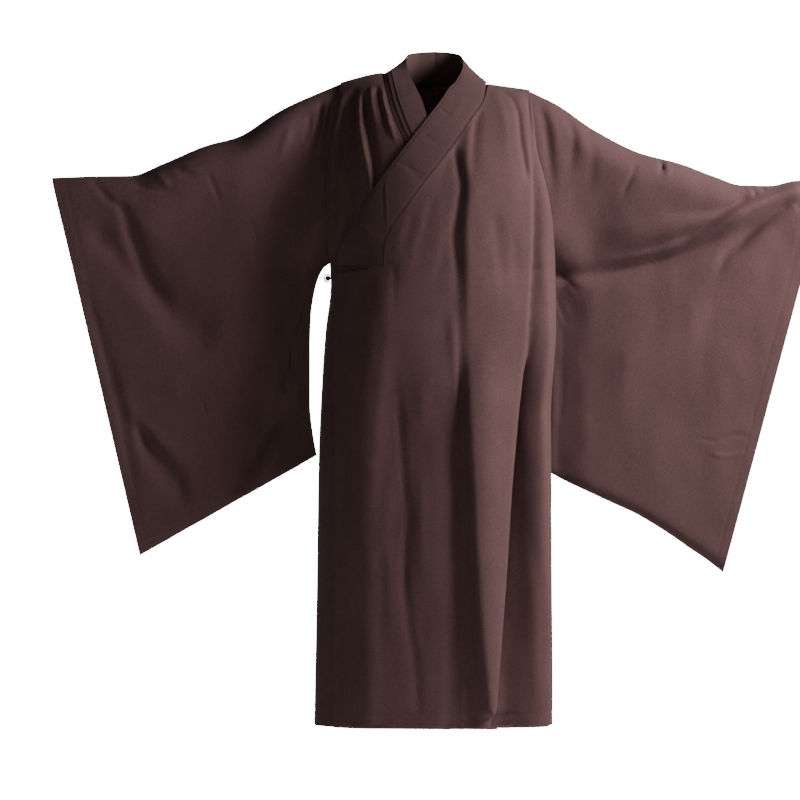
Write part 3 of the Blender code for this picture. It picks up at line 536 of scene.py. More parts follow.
def plain_weave_group():
    """Plain weave: |sin| of the warp where it is on top, |sin| of the weft where that is, thick slubs and
    worn patches. The colour is lighter where threads and slubs stand up and darker where they dip: painted
    highlight and shade."""
    tree = bpy.data.node_groups.new("plain_weave", "ShaderNodeTree")
    for label, kind in (("Cut", "NodeSocketVector"), ("Pitch", "NodeSocketFloat"),
                        ("Dark Thread", "NodeSocketColor"),
                        ("Light Thread", "NodeSocketColor"), ("Rough", "NodeSocketFloat")):
        tree.interface.new_socket(name=label, in_out="INPUT", socket_type=kind)
    for label, kind in (("Color", "NodeSocketColor"), ("Roughness", "NodeSocketFloat"),
                        ("Height", "NodeSocketFloat")):
        tree.interface.new_socket(name=label, in_out="OUTPUT", socket_type=kind)
    given = tree.nodes.new("NodeGroupInput")
    made = tree.nodes.new("NodeGroupOutput")
    parts = tree.nodes.new("ShaderNodeSeparateXYZ")
    wire(tree, (given, "Cut", parts, "Vector"))
    turn = [math_node(tree, "MULTIPLY", (math_node(tree, "DIVIDE", (parts, axis), (given, "Pitch")), 0),
                      math.pi)
            for axis in ("X", "Y")]
    wave = [math_node(tree, "SINE", (node, 0)) for node in turn]
    ridge = [math_node(tree, "ABSOLUTE", (node, 0)) for node in wave]
    cross = [math_node(tree, "COSINE", (node, 0)) for node in turn]
    side = math_node(tree, "MULTIPLY", (cross[0], 0), (cross[1], 0))
    top = math_node(tree, "GREATER_THAN", (side, 0), 0.0)
    under = math_node(tree, "SUBTRACT", 1.0, (top, 0))
    warp = math_node(tree, "MULTIPLY", (ridge[0], 0), (top, 0))
    weft = math_node(tree, "MULTIPLY", (ridge[1], 0), (under, 0))
    threads = math_node(tree, "ADD", (warp, 0), (weft, 0))
    slubs = []
    for stretch in ((1400.0, 60.0, 1.0), (55.0, 1300.0, 1.0)):
        place = tree.nodes.new("ShaderNodeMapping")
        place.inputs["Scale"].default_value = stretch
        noise = tree.nodes.new("ShaderNodeTexNoise")
        noise.inputs["Scale"].default_value = 1.0
        noise.inputs["Detail"].default_value = 1.0
        wire(tree, (given, "Cut", place, "Vector"), (place, "Vector", noise, "Vector"))
        slubs.append(noise)
    slub = math_node(tree, "ADD", (slubs[0], "Fac"), (slubs[1], "Fac"))
    grain = tree.nodes.new("ShaderNodeTexNoise")
    grain.inputs["Scale"].default_value = 260.0
    grain.inputs["Detail"].default_value = 3.0
    patch = tree.nodes.new("ShaderNodeTexNoise")
    patch.inputs["Scale"].default_value = 7.0
    patch.inputs["Detail"].default_value = 4.0
    wire(tree, (given, "Cut", grain, "Vector"), (given, "Cut", patch, "Vector"))
    # Painted highlight and shade: slubs and thread crowns are coloured lighter, the dips between threads
    # darker; grain and patches are tone that differs at random.
    slub_height_and_highlight = math_node(tree, "MULTIPLY", (math_node(tree, "SUBTRACT", (slub, 0), 1.0), 0), 0.7)
    grain_part = math_node(tree, "MULTIPLY", (math_node(tree, "SUBTRACT", (grain, "Fac"), 0.5), 0), 1.3)
    patch_part = math_node(tree, "MULTIPLY", (math_node(tree, "SUBTRACT", (patch, "Fac"), 0.5), 0), 1.1)
    thread_highlight_and_shade = math_node(tree, "MULTIPLY", (math_node(tree, "SUBTRACT", (threads, 0), 0.6), 0), 0.5)
    total = math_node(tree, "ADD", (math_node(tree, "ADD", (slub_height_and_highlight, 0), (grain_part, 0)), 0),
                      (math_node(tree, "ADD", (patch_part, 0), (thread_highlight_and_shade, 0)), 0))
    share = tree.nodes.new("ShaderNodeMapRange")
    share.inputs["From Min"].default_value = -0.9
    share.inputs["From Max"].default_value = 0.9
    colour = tree.nodes.new("ShaderNodeMix")
    colour.data_type = "RGBA"
    tree.links.new(total.outputs[0], share.inputs["Value"])
    tree.links.new(share.outputs["Result"], colour.inputs[0])
    tree.links.new(given.outputs["Dark Thread"], colour.inputs[6])
    tree.links.new(given.outputs["Light Thread"], colour.inputs[7])
    tree.links.new(colour.outputs[2], made.inputs["Color"])
    rough = math_node(tree, "ADD", (given, "Rough"), (math_node(tree, "MULTIPLY", (total, 0), -0.06), 0))
    height = math_node(tree, "ADD", (math_node(tree, "MULTIPLY", (threads, 0), 0.5), 0), (slub_height_and_highlight, 0))
    tree.links.new(rough.outputs[0], made.inputs["Roughness"])
    tree.links.new(height.outputs[0], made.inputs["Height"])
    return tree


plain_weave = plain_weave_group()
THREAD_PITCH = 0.0005
THREAD_RADIUS = 0.00028
STITCH = 0.0030
STITCH_GAP = 0.0013


def cloth_material(name, dark, light, rough, pitch, bump):
    """A matte cloth: the weave group gives colour, roughness and bump; sheen is on the shader itself."""
    material = bpy.data.materials.new(name)
    material.use_nodes = True
    tree = material.node_tree
    shader = tree.nodes["Principled BSDF"]
    cut = tree.nodes.new("ShaderNodeUVMap")
    cut.uv_map = "cut"
    weave = tree.nodes.new("ShaderNodeGroup")
    weave.node_tree = plain_weave
    weave.inputs["Pitch"].default_value = pitch
    weave.inputs["Dark Thread"].default_value = (*dark, 1.0)
    weave.inputs["Light Thread"].default_value = (*light, 1.0)
    weave.inputs["Rough"].default_value = rough
    raised = tree.nodes.new("ShaderNodeBump")
    raised.inputs["Strength"].default_value = bump
    raised.inputs["Distance"].default_value = 0.0004
    wire(tree, (cut, "UV", weave, "Cut"), (weave, "Color", shader, "Base Color"),
         (weave, "Roughness", shader, "Roughness"), (weave, "Height", raised, "Height"),
         (raised, "Normal", shader, "Normal"))
    shader.inputs["Sheen Weight"].default_value = 0.05
    shader.inputs["Sheen Roughness"].default_value = 0.45
    shader.inputs["Sheen Tint"].default_value = (0.95, 0.80, 0.78, 1.0)
    shader.inputs["Specular IOR Level"].default_value = 0.13
    return material


coffee_cloth = cloth_material("coffee_cloth", (0.058, 0.029, 0.028), (0.116, 0.064, 0.063), 0.88,
                              THREAD_PITCH, 0.50)


def thread_material(name, colour):
    """Twisted sewing thread: fine slanted bands from a wave on its own length. The wave raises the bump and
    lightens the colour together, so the twist's ridges are lighter and its grooves darker: painted highlight
    and shade."""
    material = bpy.data.materials.new(name)
    material.use_nodes = True
    tree = material.node_tree
    shader = tree.nodes["Principled BSDF"]
    cut = tree.nodes.new("ShaderNodeUVMap")
    cut.uv_map = "cut"
    twist = tree.nodes.new("ShaderNodeTexWave")
    twist.bands_direction = "DIAGONAL"
    twist.inputs["Scale"].default_value = 420.0
    # Painted highlight and shade: the mix follows the twist's bump, lighter on its ridges and darker in its
    # grooves.
    shade = tree.nodes.new("ShaderNodeMix")
    shade.data_type = "RGBA"
    shade.inputs[6].default_value = (*[c * 0.6 for c in colour], 1.0)
    shade.inputs[7].default_value = (*colour, 1.0)
    raised = tree.nodes.new("ShaderNodeBump")
    raised.inputs["Strength"].default_value = 0.5
    raised.inputs["Distance"].default_value = 0.0002
    wire(tree, (cut, "UV", twist, "Vector"), (twist, "Fac", raised, "Height"),
         (raised, "Normal", shader, "Normal"))
    tree.links.new(twist.outputs["Fac"], shade.inputs[0])
    tree.links.new(shade.outputs[2], shader.inputs["Base Color"])
    shader.inputs["Roughness"].default_value = 0.6
    shader.inputs["Sheen Weight"].default_value = 0.1
    return material


brown_thread = thread_material("brown_thread", (0.030, 0.016, 0.015))


def stitches(name, lines):
    """Rows of stitches as one mesh. Along each line, a stitch is a five-sided tube that bows up out of the
    cloth."""
    starts, ends, ups = [], [], []
    for path, outward in lines:
        run = np.concatenate(([0.0], np.cumsum(np.linalg.norm(np.diff(path, axis=0), axis=1))))
        first = np.arange(STITCH_GAP, run[-1] - STITCH, STITCH + STITCH_GAP)
        for at, into in ((first, starts), (first + STITCH, ends)):
            into.append(np.stack([np.interp(at, run, path[:, k]) for k in range(3)], axis=1))
        up = np.stack([np.interp(first + STITCH / 2, run, outward[:, k]) for k in range(3)], axis=1)
        ups.append(up / np.linalg.norm(up, axis=1, keepdims=True))
    start, end, up = np.concatenate(starts), np.concatenate(ends), np.concatenate(ups)
    across = np.cross(end - start, up)
    across = across / np.maximum(np.linalg.norm(across, axis=1, keepdims=True), 1e-12)
    share = np.array((0.0, 0.15, 0.5, 0.85, 1.0))
    size = THREAD_RADIUS * np.array((0.35, 0.9, 1.0, 0.9, 0.35))
    bow = THREAD_RADIUS * np.array((-1.1, 0.1, 0.5, 0.1, -1.1))
    turn = np.linspace(0.0, 2 * math.pi, 6)[:-1]
    middle = start[:, None] + (end - start)[:, None] * share[None, :, None] + up[:, None] * bow[None, :, None]
    ring = (np.cos(turn)[None, None, :, None] * across[:, None, None] +
            np.sin(turn)[None, None, :, None] * up[:, None, None]) * size[None, :, None, None]
    vertices = (middle[:, :, None] + ring).reshape(-1, 3)
    r, s = np.meshgrid(np.arange(4), np.arange(5), indexing="ij")
    one = np.stack((r * 5 + s, r * 5 + (s + 1) % 5, (r + 1) * 5 + (s + 1) % 5, (r + 1) * 5 + s),
                   axis=-1).reshape(-1, 4)
    caps = np.array(((0, 3, 2, 1), (20, 21, 22, 23)))
    tips = np.array(((0, 4, 3), (20, 23, 24)))
    count = len(start)
    faces = (np.concatenate((one, caps))[None] + 25 * np.arange(count)[:, None, None]).reshape(-1, 4)
    ends3 = (tips[None] + 25 * np.arange(count)[:, None, None]).reshape(-1, 3)
    mesh = bpy.data.meshes.new(name)
    mesh.from_pydata(vertices.tolist(), [], faces.tolist() + ends3.tolist())
    layer = mesh.uv_layers.new(name="cut")
    corners = np.zeros(len(mesh.loops), np.int32)
    mesh.loops.foreach_get("vertex_index", corners)
    place = np.stack((np.tile(np.tile(turn, 5), count) * THREAD_RADIUS,
                      np.tile(np.repeat(share * STITCH, 5), count)), axis=1)
    layer.data.foreach_set("uv", np.ascontiguousarray(place[corners], np.float32).ravel())
    mesh.materials.append(brown_thread)
    mesh.shade_smooth()
    rows_of = bpy.data.objects.new(name, mesh)
    bpy.context.scene.collection.objects.link(rows_of)
    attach(rows_of, "root")
    return rows_of


def grid_rows(points, lift, rows_at=(), columns_at=()):
    """Lines for stitches along rows and columns of a grid of points, lifted off it along its normals."""
    normal = grid_normals(points)
    lines = [(points[i, a:b] + normal[i, a:b] * lift, normal[i, a:b]) for i, a, b in rows_at]
    return lines + [(points[a:b, j] + normal[a:b, j] * lift, normal[a:b, j]) for j, a, b in columns_at]


def fine_rows():
    """Row heights of the body's cloth, from the hem to the shoulder line, closer where the cloth turns."""
    low = np.linspace(HEM, -0.470, 12)
    notch = np.array([-0.430, -0.410, LAP_END, -0.376, -0.352, -0.320, -0.290])
    high = ARMPIT - ARMPIT * np.sin(np.radians(np.linspace(12.0, 90.0, 12))) ** (2.0 / 3.0)
    coarse = np.concatenate((low, notch, high))
    return np.concatenate([np.linspace(a, b, 17 if a < -0.5 else 9)[:-1] for a,
                           b in zip(coarse[:-1], coarse[1:])]
                          + [[0.0]])


def seam_by_level(collar, edge):
    """The collar's seam as a place across for each row: edge 0 is the inner one, 2 the outer."""
    x = column(collar, edge)
    z = column(collar, edge + 1)
    x = np.append(x, math.copysign(NECK_HALF_WIDTH, x[-1]))
    return np.append(level_of(x[:-1], z), 0.0), x


def under_drop(x, z):
    """How far the right front falls back where the left front lies over it."""
    edge = smooth(column(COLLAR_LEFT, 1), column(COLLAR_LEFT, 0), z)
    return UNDER_DROP * ease((x - edge - 0.004) / 0.055) * ease((0.16 - x) / 0.02 + 1.0)


def seam_across(side, level):
    """Where the armhole's seam and the side seam lie across the body."""
    if side < 0:
        return body_column(level, 1)
    return body_column(level, 2) * np.cos(lip_turn(level))


def hem_dent(height, depth):
    """A stitched hem's groove: -dent times exp(-((height - depth) / 2.2 mm)^2)."""
    return -HEM_DENT * np.exp(-((height - depth) / 0.0022) ** 2)


def panel_angles(collar, side, lap_edge, pleat, columns_lap, columns_main, rows):
    """Angles across a front panel: even steps from its free edge to the pleat, then on to the armhole."""
    level, seam_x = seam_by_level(collar, 2)
    seam = np.where(rows <= LAP_END, pleat, smooth(level, seam_x, rows))
    clear = 0.0013 if side > 0 else 0.0020
    trim = 0.0045 if side > 0 else 0.0015
    half = np.where(seam < 0, -body_column(rows, 1), body_column(rows, 2))
    pleat_angle = np.arcsin((seam + side * clear) / half)
    end = (math.pi / 2 + lip_turn(rows) if side > 0 else np.full(len(rows), -math.pi / 2)) - side * trim
    main = pleat_angle[:, None] + (end - pleat_angle)[:, None] * np.linspace(0, 1, columns_main + 1) ** 0.92
    lap_half = -body_column(rows, 1) if lap_edge < 0 else body_column(rows, 2)
    lap_angle = np.arcsin(np.clip(lap_edge / lap_half, -0.97, 0.97))
    lap = lap_angle[:, None] + (pleat_angle - lap_angle)[:, None] * np.linspace(0, 1, columns_lap + 1)[:-1]
    return np.concatenate((lap, main), axis=1), seam


rows = fine_rows()
angle, seam = panel_angles(COLLAR_RIGHT, -1.0, UNDER_EDGE_X, UNDER_EDGE_X - 0.004, 4, 86, rows)
points = front_surface(angle, rows[:, None])
x, z = points[..., 0], points[..., 2]
from_seam = ease((seam[:, None] - x) / 0.016) * ease((x + 0.2085) / 0.010 + np.where(z < -0.44, 1.0, 0.0))
chest = crease_rise(CHEST_CREASES, x, z) * from_seam * ease((-z - 0.02) / 0.03)
wave = 0.0010 * crumple(x, z, 0.045, 0.11, 11) + 0.0005 * crumple(x, z, 0.018, 0.040, 12)
move = chest + wave * from_seam * ease((-0.12 - x) / 0.04) + hem_dent(z - HEM, HEM_DEPTH)
drop = under_drop(x, z)
pressed = np.minimum(crease_rise(FRONT_CREASES, x, z), 0.0) * drop / UNDER_DROP
points = front_cloth(angle, rows[:, None], move + pressed - drop)
points[..., 1] -= SEAM / 2
used = np.ones((len(rows) - 1, angle.shape[1] - 1), bool)
used[rows[:-1] >= LAP_END - 1e-6, :4] = False
front_under = cloth_shell("front_under_cloth", points, CLOTH, coffee_cloth, used)
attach(front_under, "root")
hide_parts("front_under")
hem_row = int(np.argmin(np.abs(rows - HEM - HEM_DEPTH)))
shown = int(np.argmin(np.abs(points[hem_row, :, 0] + 0.195)))
stitches("front_under_thread", grid_rows(points[:, ::-1], CLOTH / 2, [(hem_row, 0, points.shape[1] - shown)]))


# The left front, which laps over the right one. One panel, sewn to the collar at the top,
# with a free stitched edge below the collar's end. It rolls under in front of the sleeve.
LAP_LIFT = 0.0062
LAP_EDGE_X = -0.196
LAP_PLEAT_X = -0.100
EDGE_HEM = 0.012

angle, seam = panel_angles(COLLAR_LEFT, 1.0, LAP_EDGE_X, LAP_PLEAT_X, 24, 116, rows)
points = front_surface(angle, rows[:, None])
x, z = points[..., 0], points[..., 2]
below_seam = np.where(rows[:, None] <= LAP_END, 1.0, ease((x - seam[:, None]) / 0.014))
top = 1.0 - rise_share(rows)[:, None] ** 8
lap = LAP_LIFT * ease((0.200 - x) / 0.060) * top
end_fade = np.clip(np.cos(angle * 0.86), 0.0, 1.0) ** 0.5
folds = crease_rise(FRONT_CREASES, x, z) * below_seam * top * np.minimum(end_fade * 1.6, 1.0)
wave = 0.0012 * crumple(x, z, 0.050, 0.14, 21) + 0.0006 * crumple(x, z, 0.020, 0.045, 22)
edge_groove = -HEM_DENT * np.exp(-((x - LAP_EDGE_X - EDGE_HEM) / 0.0018) ** 2) * (z < LAP_END)
seat = ease((angle[:, -1:] - angle) / 0.22)
move = (folds + wave * below_seam * top * end_fade) * seat + edge_groove + hem_dent(z - HEM, HEM_DEPTH)
close = 1.0 - 0.5 * ease((LAP_EDGE_X + 0.03 - x) / 0.03)
points = front_cloth(angle, rows[:, None], lap + move * close)
points[..., 1] -= SEAM / 2
used = np.ones((len(rows) - 1, angle.shape[1] - 1), bool)
used[rows[:-1] >= LAP_END - 1e-6, :24] = False
front_over = cloth_shell("front_over_cloth", points, CLOTH, coffee_cloth, used)
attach(front_over, "root")
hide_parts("front_over")
edge_column = int(np.argmin(np.abs(points[0, :24, 0] - LAP_EDGE_X - EDGE_HEM)))
lap_top = int(np.argmin(np.abs(rows - LAP_END)))
stitches("front_over_thread", grid_rows(points, CLOTH / 2, [(hem_row, edge_column, points.shape[1])],
                                        [(edge_column, hem_row, lap_top)]))


# The back: two panels sewn down the centre, each cut from hem to shoulder and joined to the
# fronts and sleeves at its sides. It is out of the photograph's sight, and hangs plainly in
# folds of the front's kind.
NECK_BACK = 0.0655
CHEST_BACK = 0.130

# height of top, bottom; across at top, middle, bottom; half width; rise
BACK_FOLDS = (
    (-0.120, -1.309, -0.120, -0.135, -0.150, 0.034, 0.012),
    (-0.150, -1.309, -0.060, -0.068, -0.085, 0.028, -0.010),
    (-0.150, -1.309, 0.070, 0.076, 0.080, 0.030, -0.011),
    (-0.120, -1.309, 0.125, 0.140, 0.150, 0.034, 0.013),
)

# The back's finer folds, in the same columns as the front's
BACK_CREASES = (
    (((-0.150, -0.110), (-0.158, -0.240), (-0.163, -0.420), (-0.176, -0.620)), 0.010, 0.008, 1.3, 2, -0.0050,
     0.15, 0.4),
    (((-0.100, -0.090), (-0.098, -0.200), (-0.104, -0.360), (-0.112, -0.520)), 0.009, 0.012, 1.6, 2, -0.0045,
     0.2, 0.4),
    (((-0.030, -0.260), (-0.034, -0.420), (-0.030, -0.640), (-0.036, -0.860)), 0.014, 0.012, 1.2, 2, 0.0036,
     0.3, 0.4),
    (((-0.120, -0.560), (-0.118, -0.800), (-0.108, -1.050), (-0.112, -1.309)), 0.010, 0.013, 1.4, 2, -0.0055,
     0.3, 0.0),
    (((-0.182, -0.700), (-0.186, -0.900), (-0.190, -1.100), (-0.188, -1.309)), 0.012, 0.012, 1.3, 2, 0.0045,
     0.3, 0.0),
    (((-0.050, -0.900), (-0.054, -1.060), (-0.048, -1.309)), 0.012, 0.014, 1.2, 2, 0.0048, 0.4, 0.0),
    (((0.036, -0.300), (0.040, -0.480), (0.034, -0.700), (0.042, -0.930)), 0.012, 0.014, 1.2, 2, 0.0034, 0.3,
     0.4),
    (((0.096, -0.120), (0.094, -0.280), (0.102, -0.460), (0.110, -0.640)), 0.012, 0.009, 1.5, 2, -0.0052, 0.2,
     0.4),
    (((0.152, -0.130), (0.160, -0.300), (0.168, -0.500), (0.176, -0.700)), 0.009, 0.011, 1.2, 2, -0.0046,
     0.15, 0.4),
    (((0.108, -0.700), (0.106, -0.900), (0.114, -1.120), (0.108, -1.309)), 0.011, 0.012, 1.3, 2, -0.0058, 0.3,
     0.0),
    (((0.048, -1.000), (0.046, -1.150), (0.052, -1.309)), 0.013, 0.011, 1.2, 2, 0.0050, 0.4, 0.0),
    (((0.184, -0.600), (0.186, -0.850), (0.180, -1.100), (0.184, -1.309)), 0.012, 0.011, 1.2, 2, 0.0040, 0.3,
     0.0),
    (((-0.070, -0.060), (-0.050, -0.110), (-0.020, -0.150)), 0.007, 0.008, 1.4, 2, -0.0022, 0.3, 0.5),
    (((0.074, -0.064), (0.052, -0.120), (0.024, -0.165)), 0.007, 0.008, 1.4, 2, -0.0024, 0.3, 0.5),
)


def back_surface(angle, level, fall):
    """The back: half an ellipse between the side seams. Fall is 0 at the shoulder's foot, 1 on its line."""
    bend = fall * math.pi / 2
    share = np.where(fall > 0, np.sin(bend) ** 0.4, 0.0)
    row = np.where(fall > 0, ARMPIT - ARMPIT * share, level)
    depth = body_column(row, 4) * np.where(fall > 0, np.cos(bend), 1.0)
    flat = ARMHOLE_SHARE * opening_share(row)
    x = np.where(angle < 0, -seam_across(-1.0, row), seam_across(1.0, row)) * np.sin(angle)
    z = true_height(row, x)
    y = depth * (flat + (1.0 - flat) * np.cos(angle))
    fade = np.clip(np.cos(angle), 0.0, 1.0) ** 0.5 * (1.0 - share ** 6)
    y = y + fold_rise(BACK_FOLDS, x, z) * fade
    return np.stack(np.broadcast_arrays(x, y, z), axis=-1)


def back_panel(name, node, side, columns, seed):
    """Half of the back, from the centre seam to the side seam, up to the shoulder and the neck."""
    notch = np.concatenate((np.linspace(HEM, -0.470, 170), np.linspace(-0.468, -0.402, 14)))
    fall = np.concatenate((np.zeros(len(notch)),
                           np.radians((0.002, 0.01, 0.03, 0.1, 0.4, 1.0, 2.5, 4.5)) / (math.pi / 2),
                           np.linspace(0.08, 1.0, 64)))
    level = np.concatenate((notch, np.full(len(fall) - len(notch), ARMPIT)))
    turn = np.linspace(0.0, side * (math.pi / 2 - 0.003), columns + 1)
    turn[0] = side * 0.001
    top_x = abs(seam_across(side, 0.0)) * np.sin(turn)
    neckline = NECK_BACK * np.sqrt(np.clip(1.0 - (top_x / NECK_HALF_WIDTH) ** 2, 0.0, 1.0)) + SEAM / 2
    round_share = ARMHOLE_SHARE + (1.0 - ARMHOLE_SHARE) * np.cos(turn)
    limit = np.arccos(np.clip(neckline / (round_share * CHEST_BACK), 0.0, 1.0)) / (math.pi / 2)
    rise = fall[:, None] * limit[None, :]
    points = back_surface(turn[None, :], level[:, None], rise)
    x, z = points[..., 0], points[..., 2]
    inward = np.clip(np.cos(turn[None, :]), 0.0, 1.0) ** 0.5 * (1.0 - fall[:, None] ** 4)
    wave = 0.0014 * crumple(x, z, 0.050, 0.13, seed) + 0.0006 * crumple(x, z, 0.020, 0.045, seed + 1)
    centre = -HEM_DENT * np.exp(-((x - side * 0.001) / 0.0015) ** 2)
    move = (crease_rise(BACK_CREASES, x, z) + wave) * inward * ease(np.abs(x) / 0.012) + centre
    move = move + hem_dent(z - HEM, HEM_DEPTH)
    points = points - grid_normals(points) * (move * side)[..., None]
    points[..., 1] += SEAM / 2
    points[:, 0, 0] = -0.0008 * side
    panel = cloth_shell(name, points, CLOTH, coffee_cloth)
    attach(panel, "root")
    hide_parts(node)
    hem_at = int(np.argmin(np.abs(level - HEM - HEM_DEPTH)))
    facing = points if side < 0 else points[:, ::-1]
    stitches(name.replace("_cloth", "_thread"), grid_rows(facing, CLOTH / 2, [(hem_at, 0, columns + 1)]))


back_panel("back_left_cloth", "back_left", 1.0, 58, 31)
back_panel("back_right_cloth", "back_right", -1.0, 58, 41)


# The sleeves: one very wide panel each, folded over the arm's line and sewn below the armpit
# only at its foot, so that it hangs as a flat open bag to the cuff. Swags pull from the cuff
# to the armhole, and small gathers stand where the cloth is drawn up at the cuff's top.
CUFF_DEPTH = 0.028
ARMHOLE_INSET = 0.006
ARMHOLE_TUCK = 0.0040
ARMHOLE_ROOM = 0.0018
ARMHOLE_CLOSED = 0.0012
ARM_JOIN = 0.24
BOW_REACH = 0.30
LEAST_HALF_ROOM = 0.0022
SWAG_ENDS = 0.25

# upper edge across, height; lower edge across, height; arm radius; half the bag's depth
SLEEVE_RIGHT = (
    (-0.189, -0.026, -0.235, -0.770, 0.058, 0.010),
    (-0.286, -0.069, -0.295, -0.804, 0.056, 0.013),
    (-0.322, -0.089, -0.317, -0.816, 0.055, 0.014),
    (-0.393, -0.134, -0.361, -0.841, 0.053, 0.015),
    (-0.458, -0.152, -0.401, -0.863, 0.051, 0.015),
    (-0.546, -0.189, -0.455, -0.894, 0.048, 0.015),
    (-0.608, -0.212, -0.493, -0.915, 0.045, 0.015),
    (-0.682, -0.213, -0.538, -0.941, 0.041, 0.015),
    (-0.737, -0.215, -0.572, -0.960, 0.039, 0.015),
    (-0.766, -0.216, -0.590, -0.970, 0.038, 0.015),
)
SLEEVE_LEFT = (
    (0.190, -0.041, 0.222, -0.800, 0.056, 0.010),
    (0.248, -0.070, 0.256, -0.819, 0.056, 0.013),
    (0.318, -0.120, 0.298, -0.839, 0.054, 0.015),
    (0.408, -0.166, 0.352, -0.864, 0.052, 0.016),
    (0.490, -0.188, 0.400, -0.886, 0.050, 0.016),
    (0.554, -0.212, 0.438, -0.908, 0.047, 0.016),
    (0.614, -0.231, 0.474, -0.931, 0.044, 0.016),
    (0.670, -0.232, 0.508, -0.955, 0.041, 0.016),
    (0.721, -0.222, 0.538, -0.975, 0.039, 0.016),
    (0.786, -0.220, 0.576, -1.004, 0.038, 0.016),
)

# The sleeves' free inner edges below the armpit: height, across
INNER_RIGHT = (
    (-0.385, -0.216), (-0.418, -0.234), (-0.444, -0.241), (-0.492, -0.248), (-0.556, -0.250),
    (-0.668, -0.250), (-0.706, -0.247), (-0.770, -0.2365),
)
INNER_LEFT = (
    (-0.385, 0.2140), (-0.420, 0.2190), (-0.460, 0.2240), (-0.560, 0.2260), (-0.700, 0.2250),
    (-0.800, 0.2220),
)

# Broad swags: across and height at the start, middle and end; half width; rise.
# The middle's place across isn't used: its height counts halfway.
SWAGS_LEFT = (
    (0.250, -0.410, 0.480, -0.372, 0.730, -0.262, 0.030, -0.012),
    (0.300, -0.330, 0.480, -0.310, 0.700, -0.245, 0.030, 0.010),
    (0.330, -0.600, 0.440, -0.560, 0.560, -0.470, 0.050, 0.008),
)
SWAGS_RIGHT = (
    (-0.640, -0.240, -0.560, -0.480, -0.420, -0.500, 0.045, -0.012),
    (-0.610, -0.700, -0.540, -0.800, -0.480, -0.860, 0.035, -0.008),
    (-0.290, -0.620, -0.340, -0.740, -0.400, -0.840, 0.035, -0.009),
)

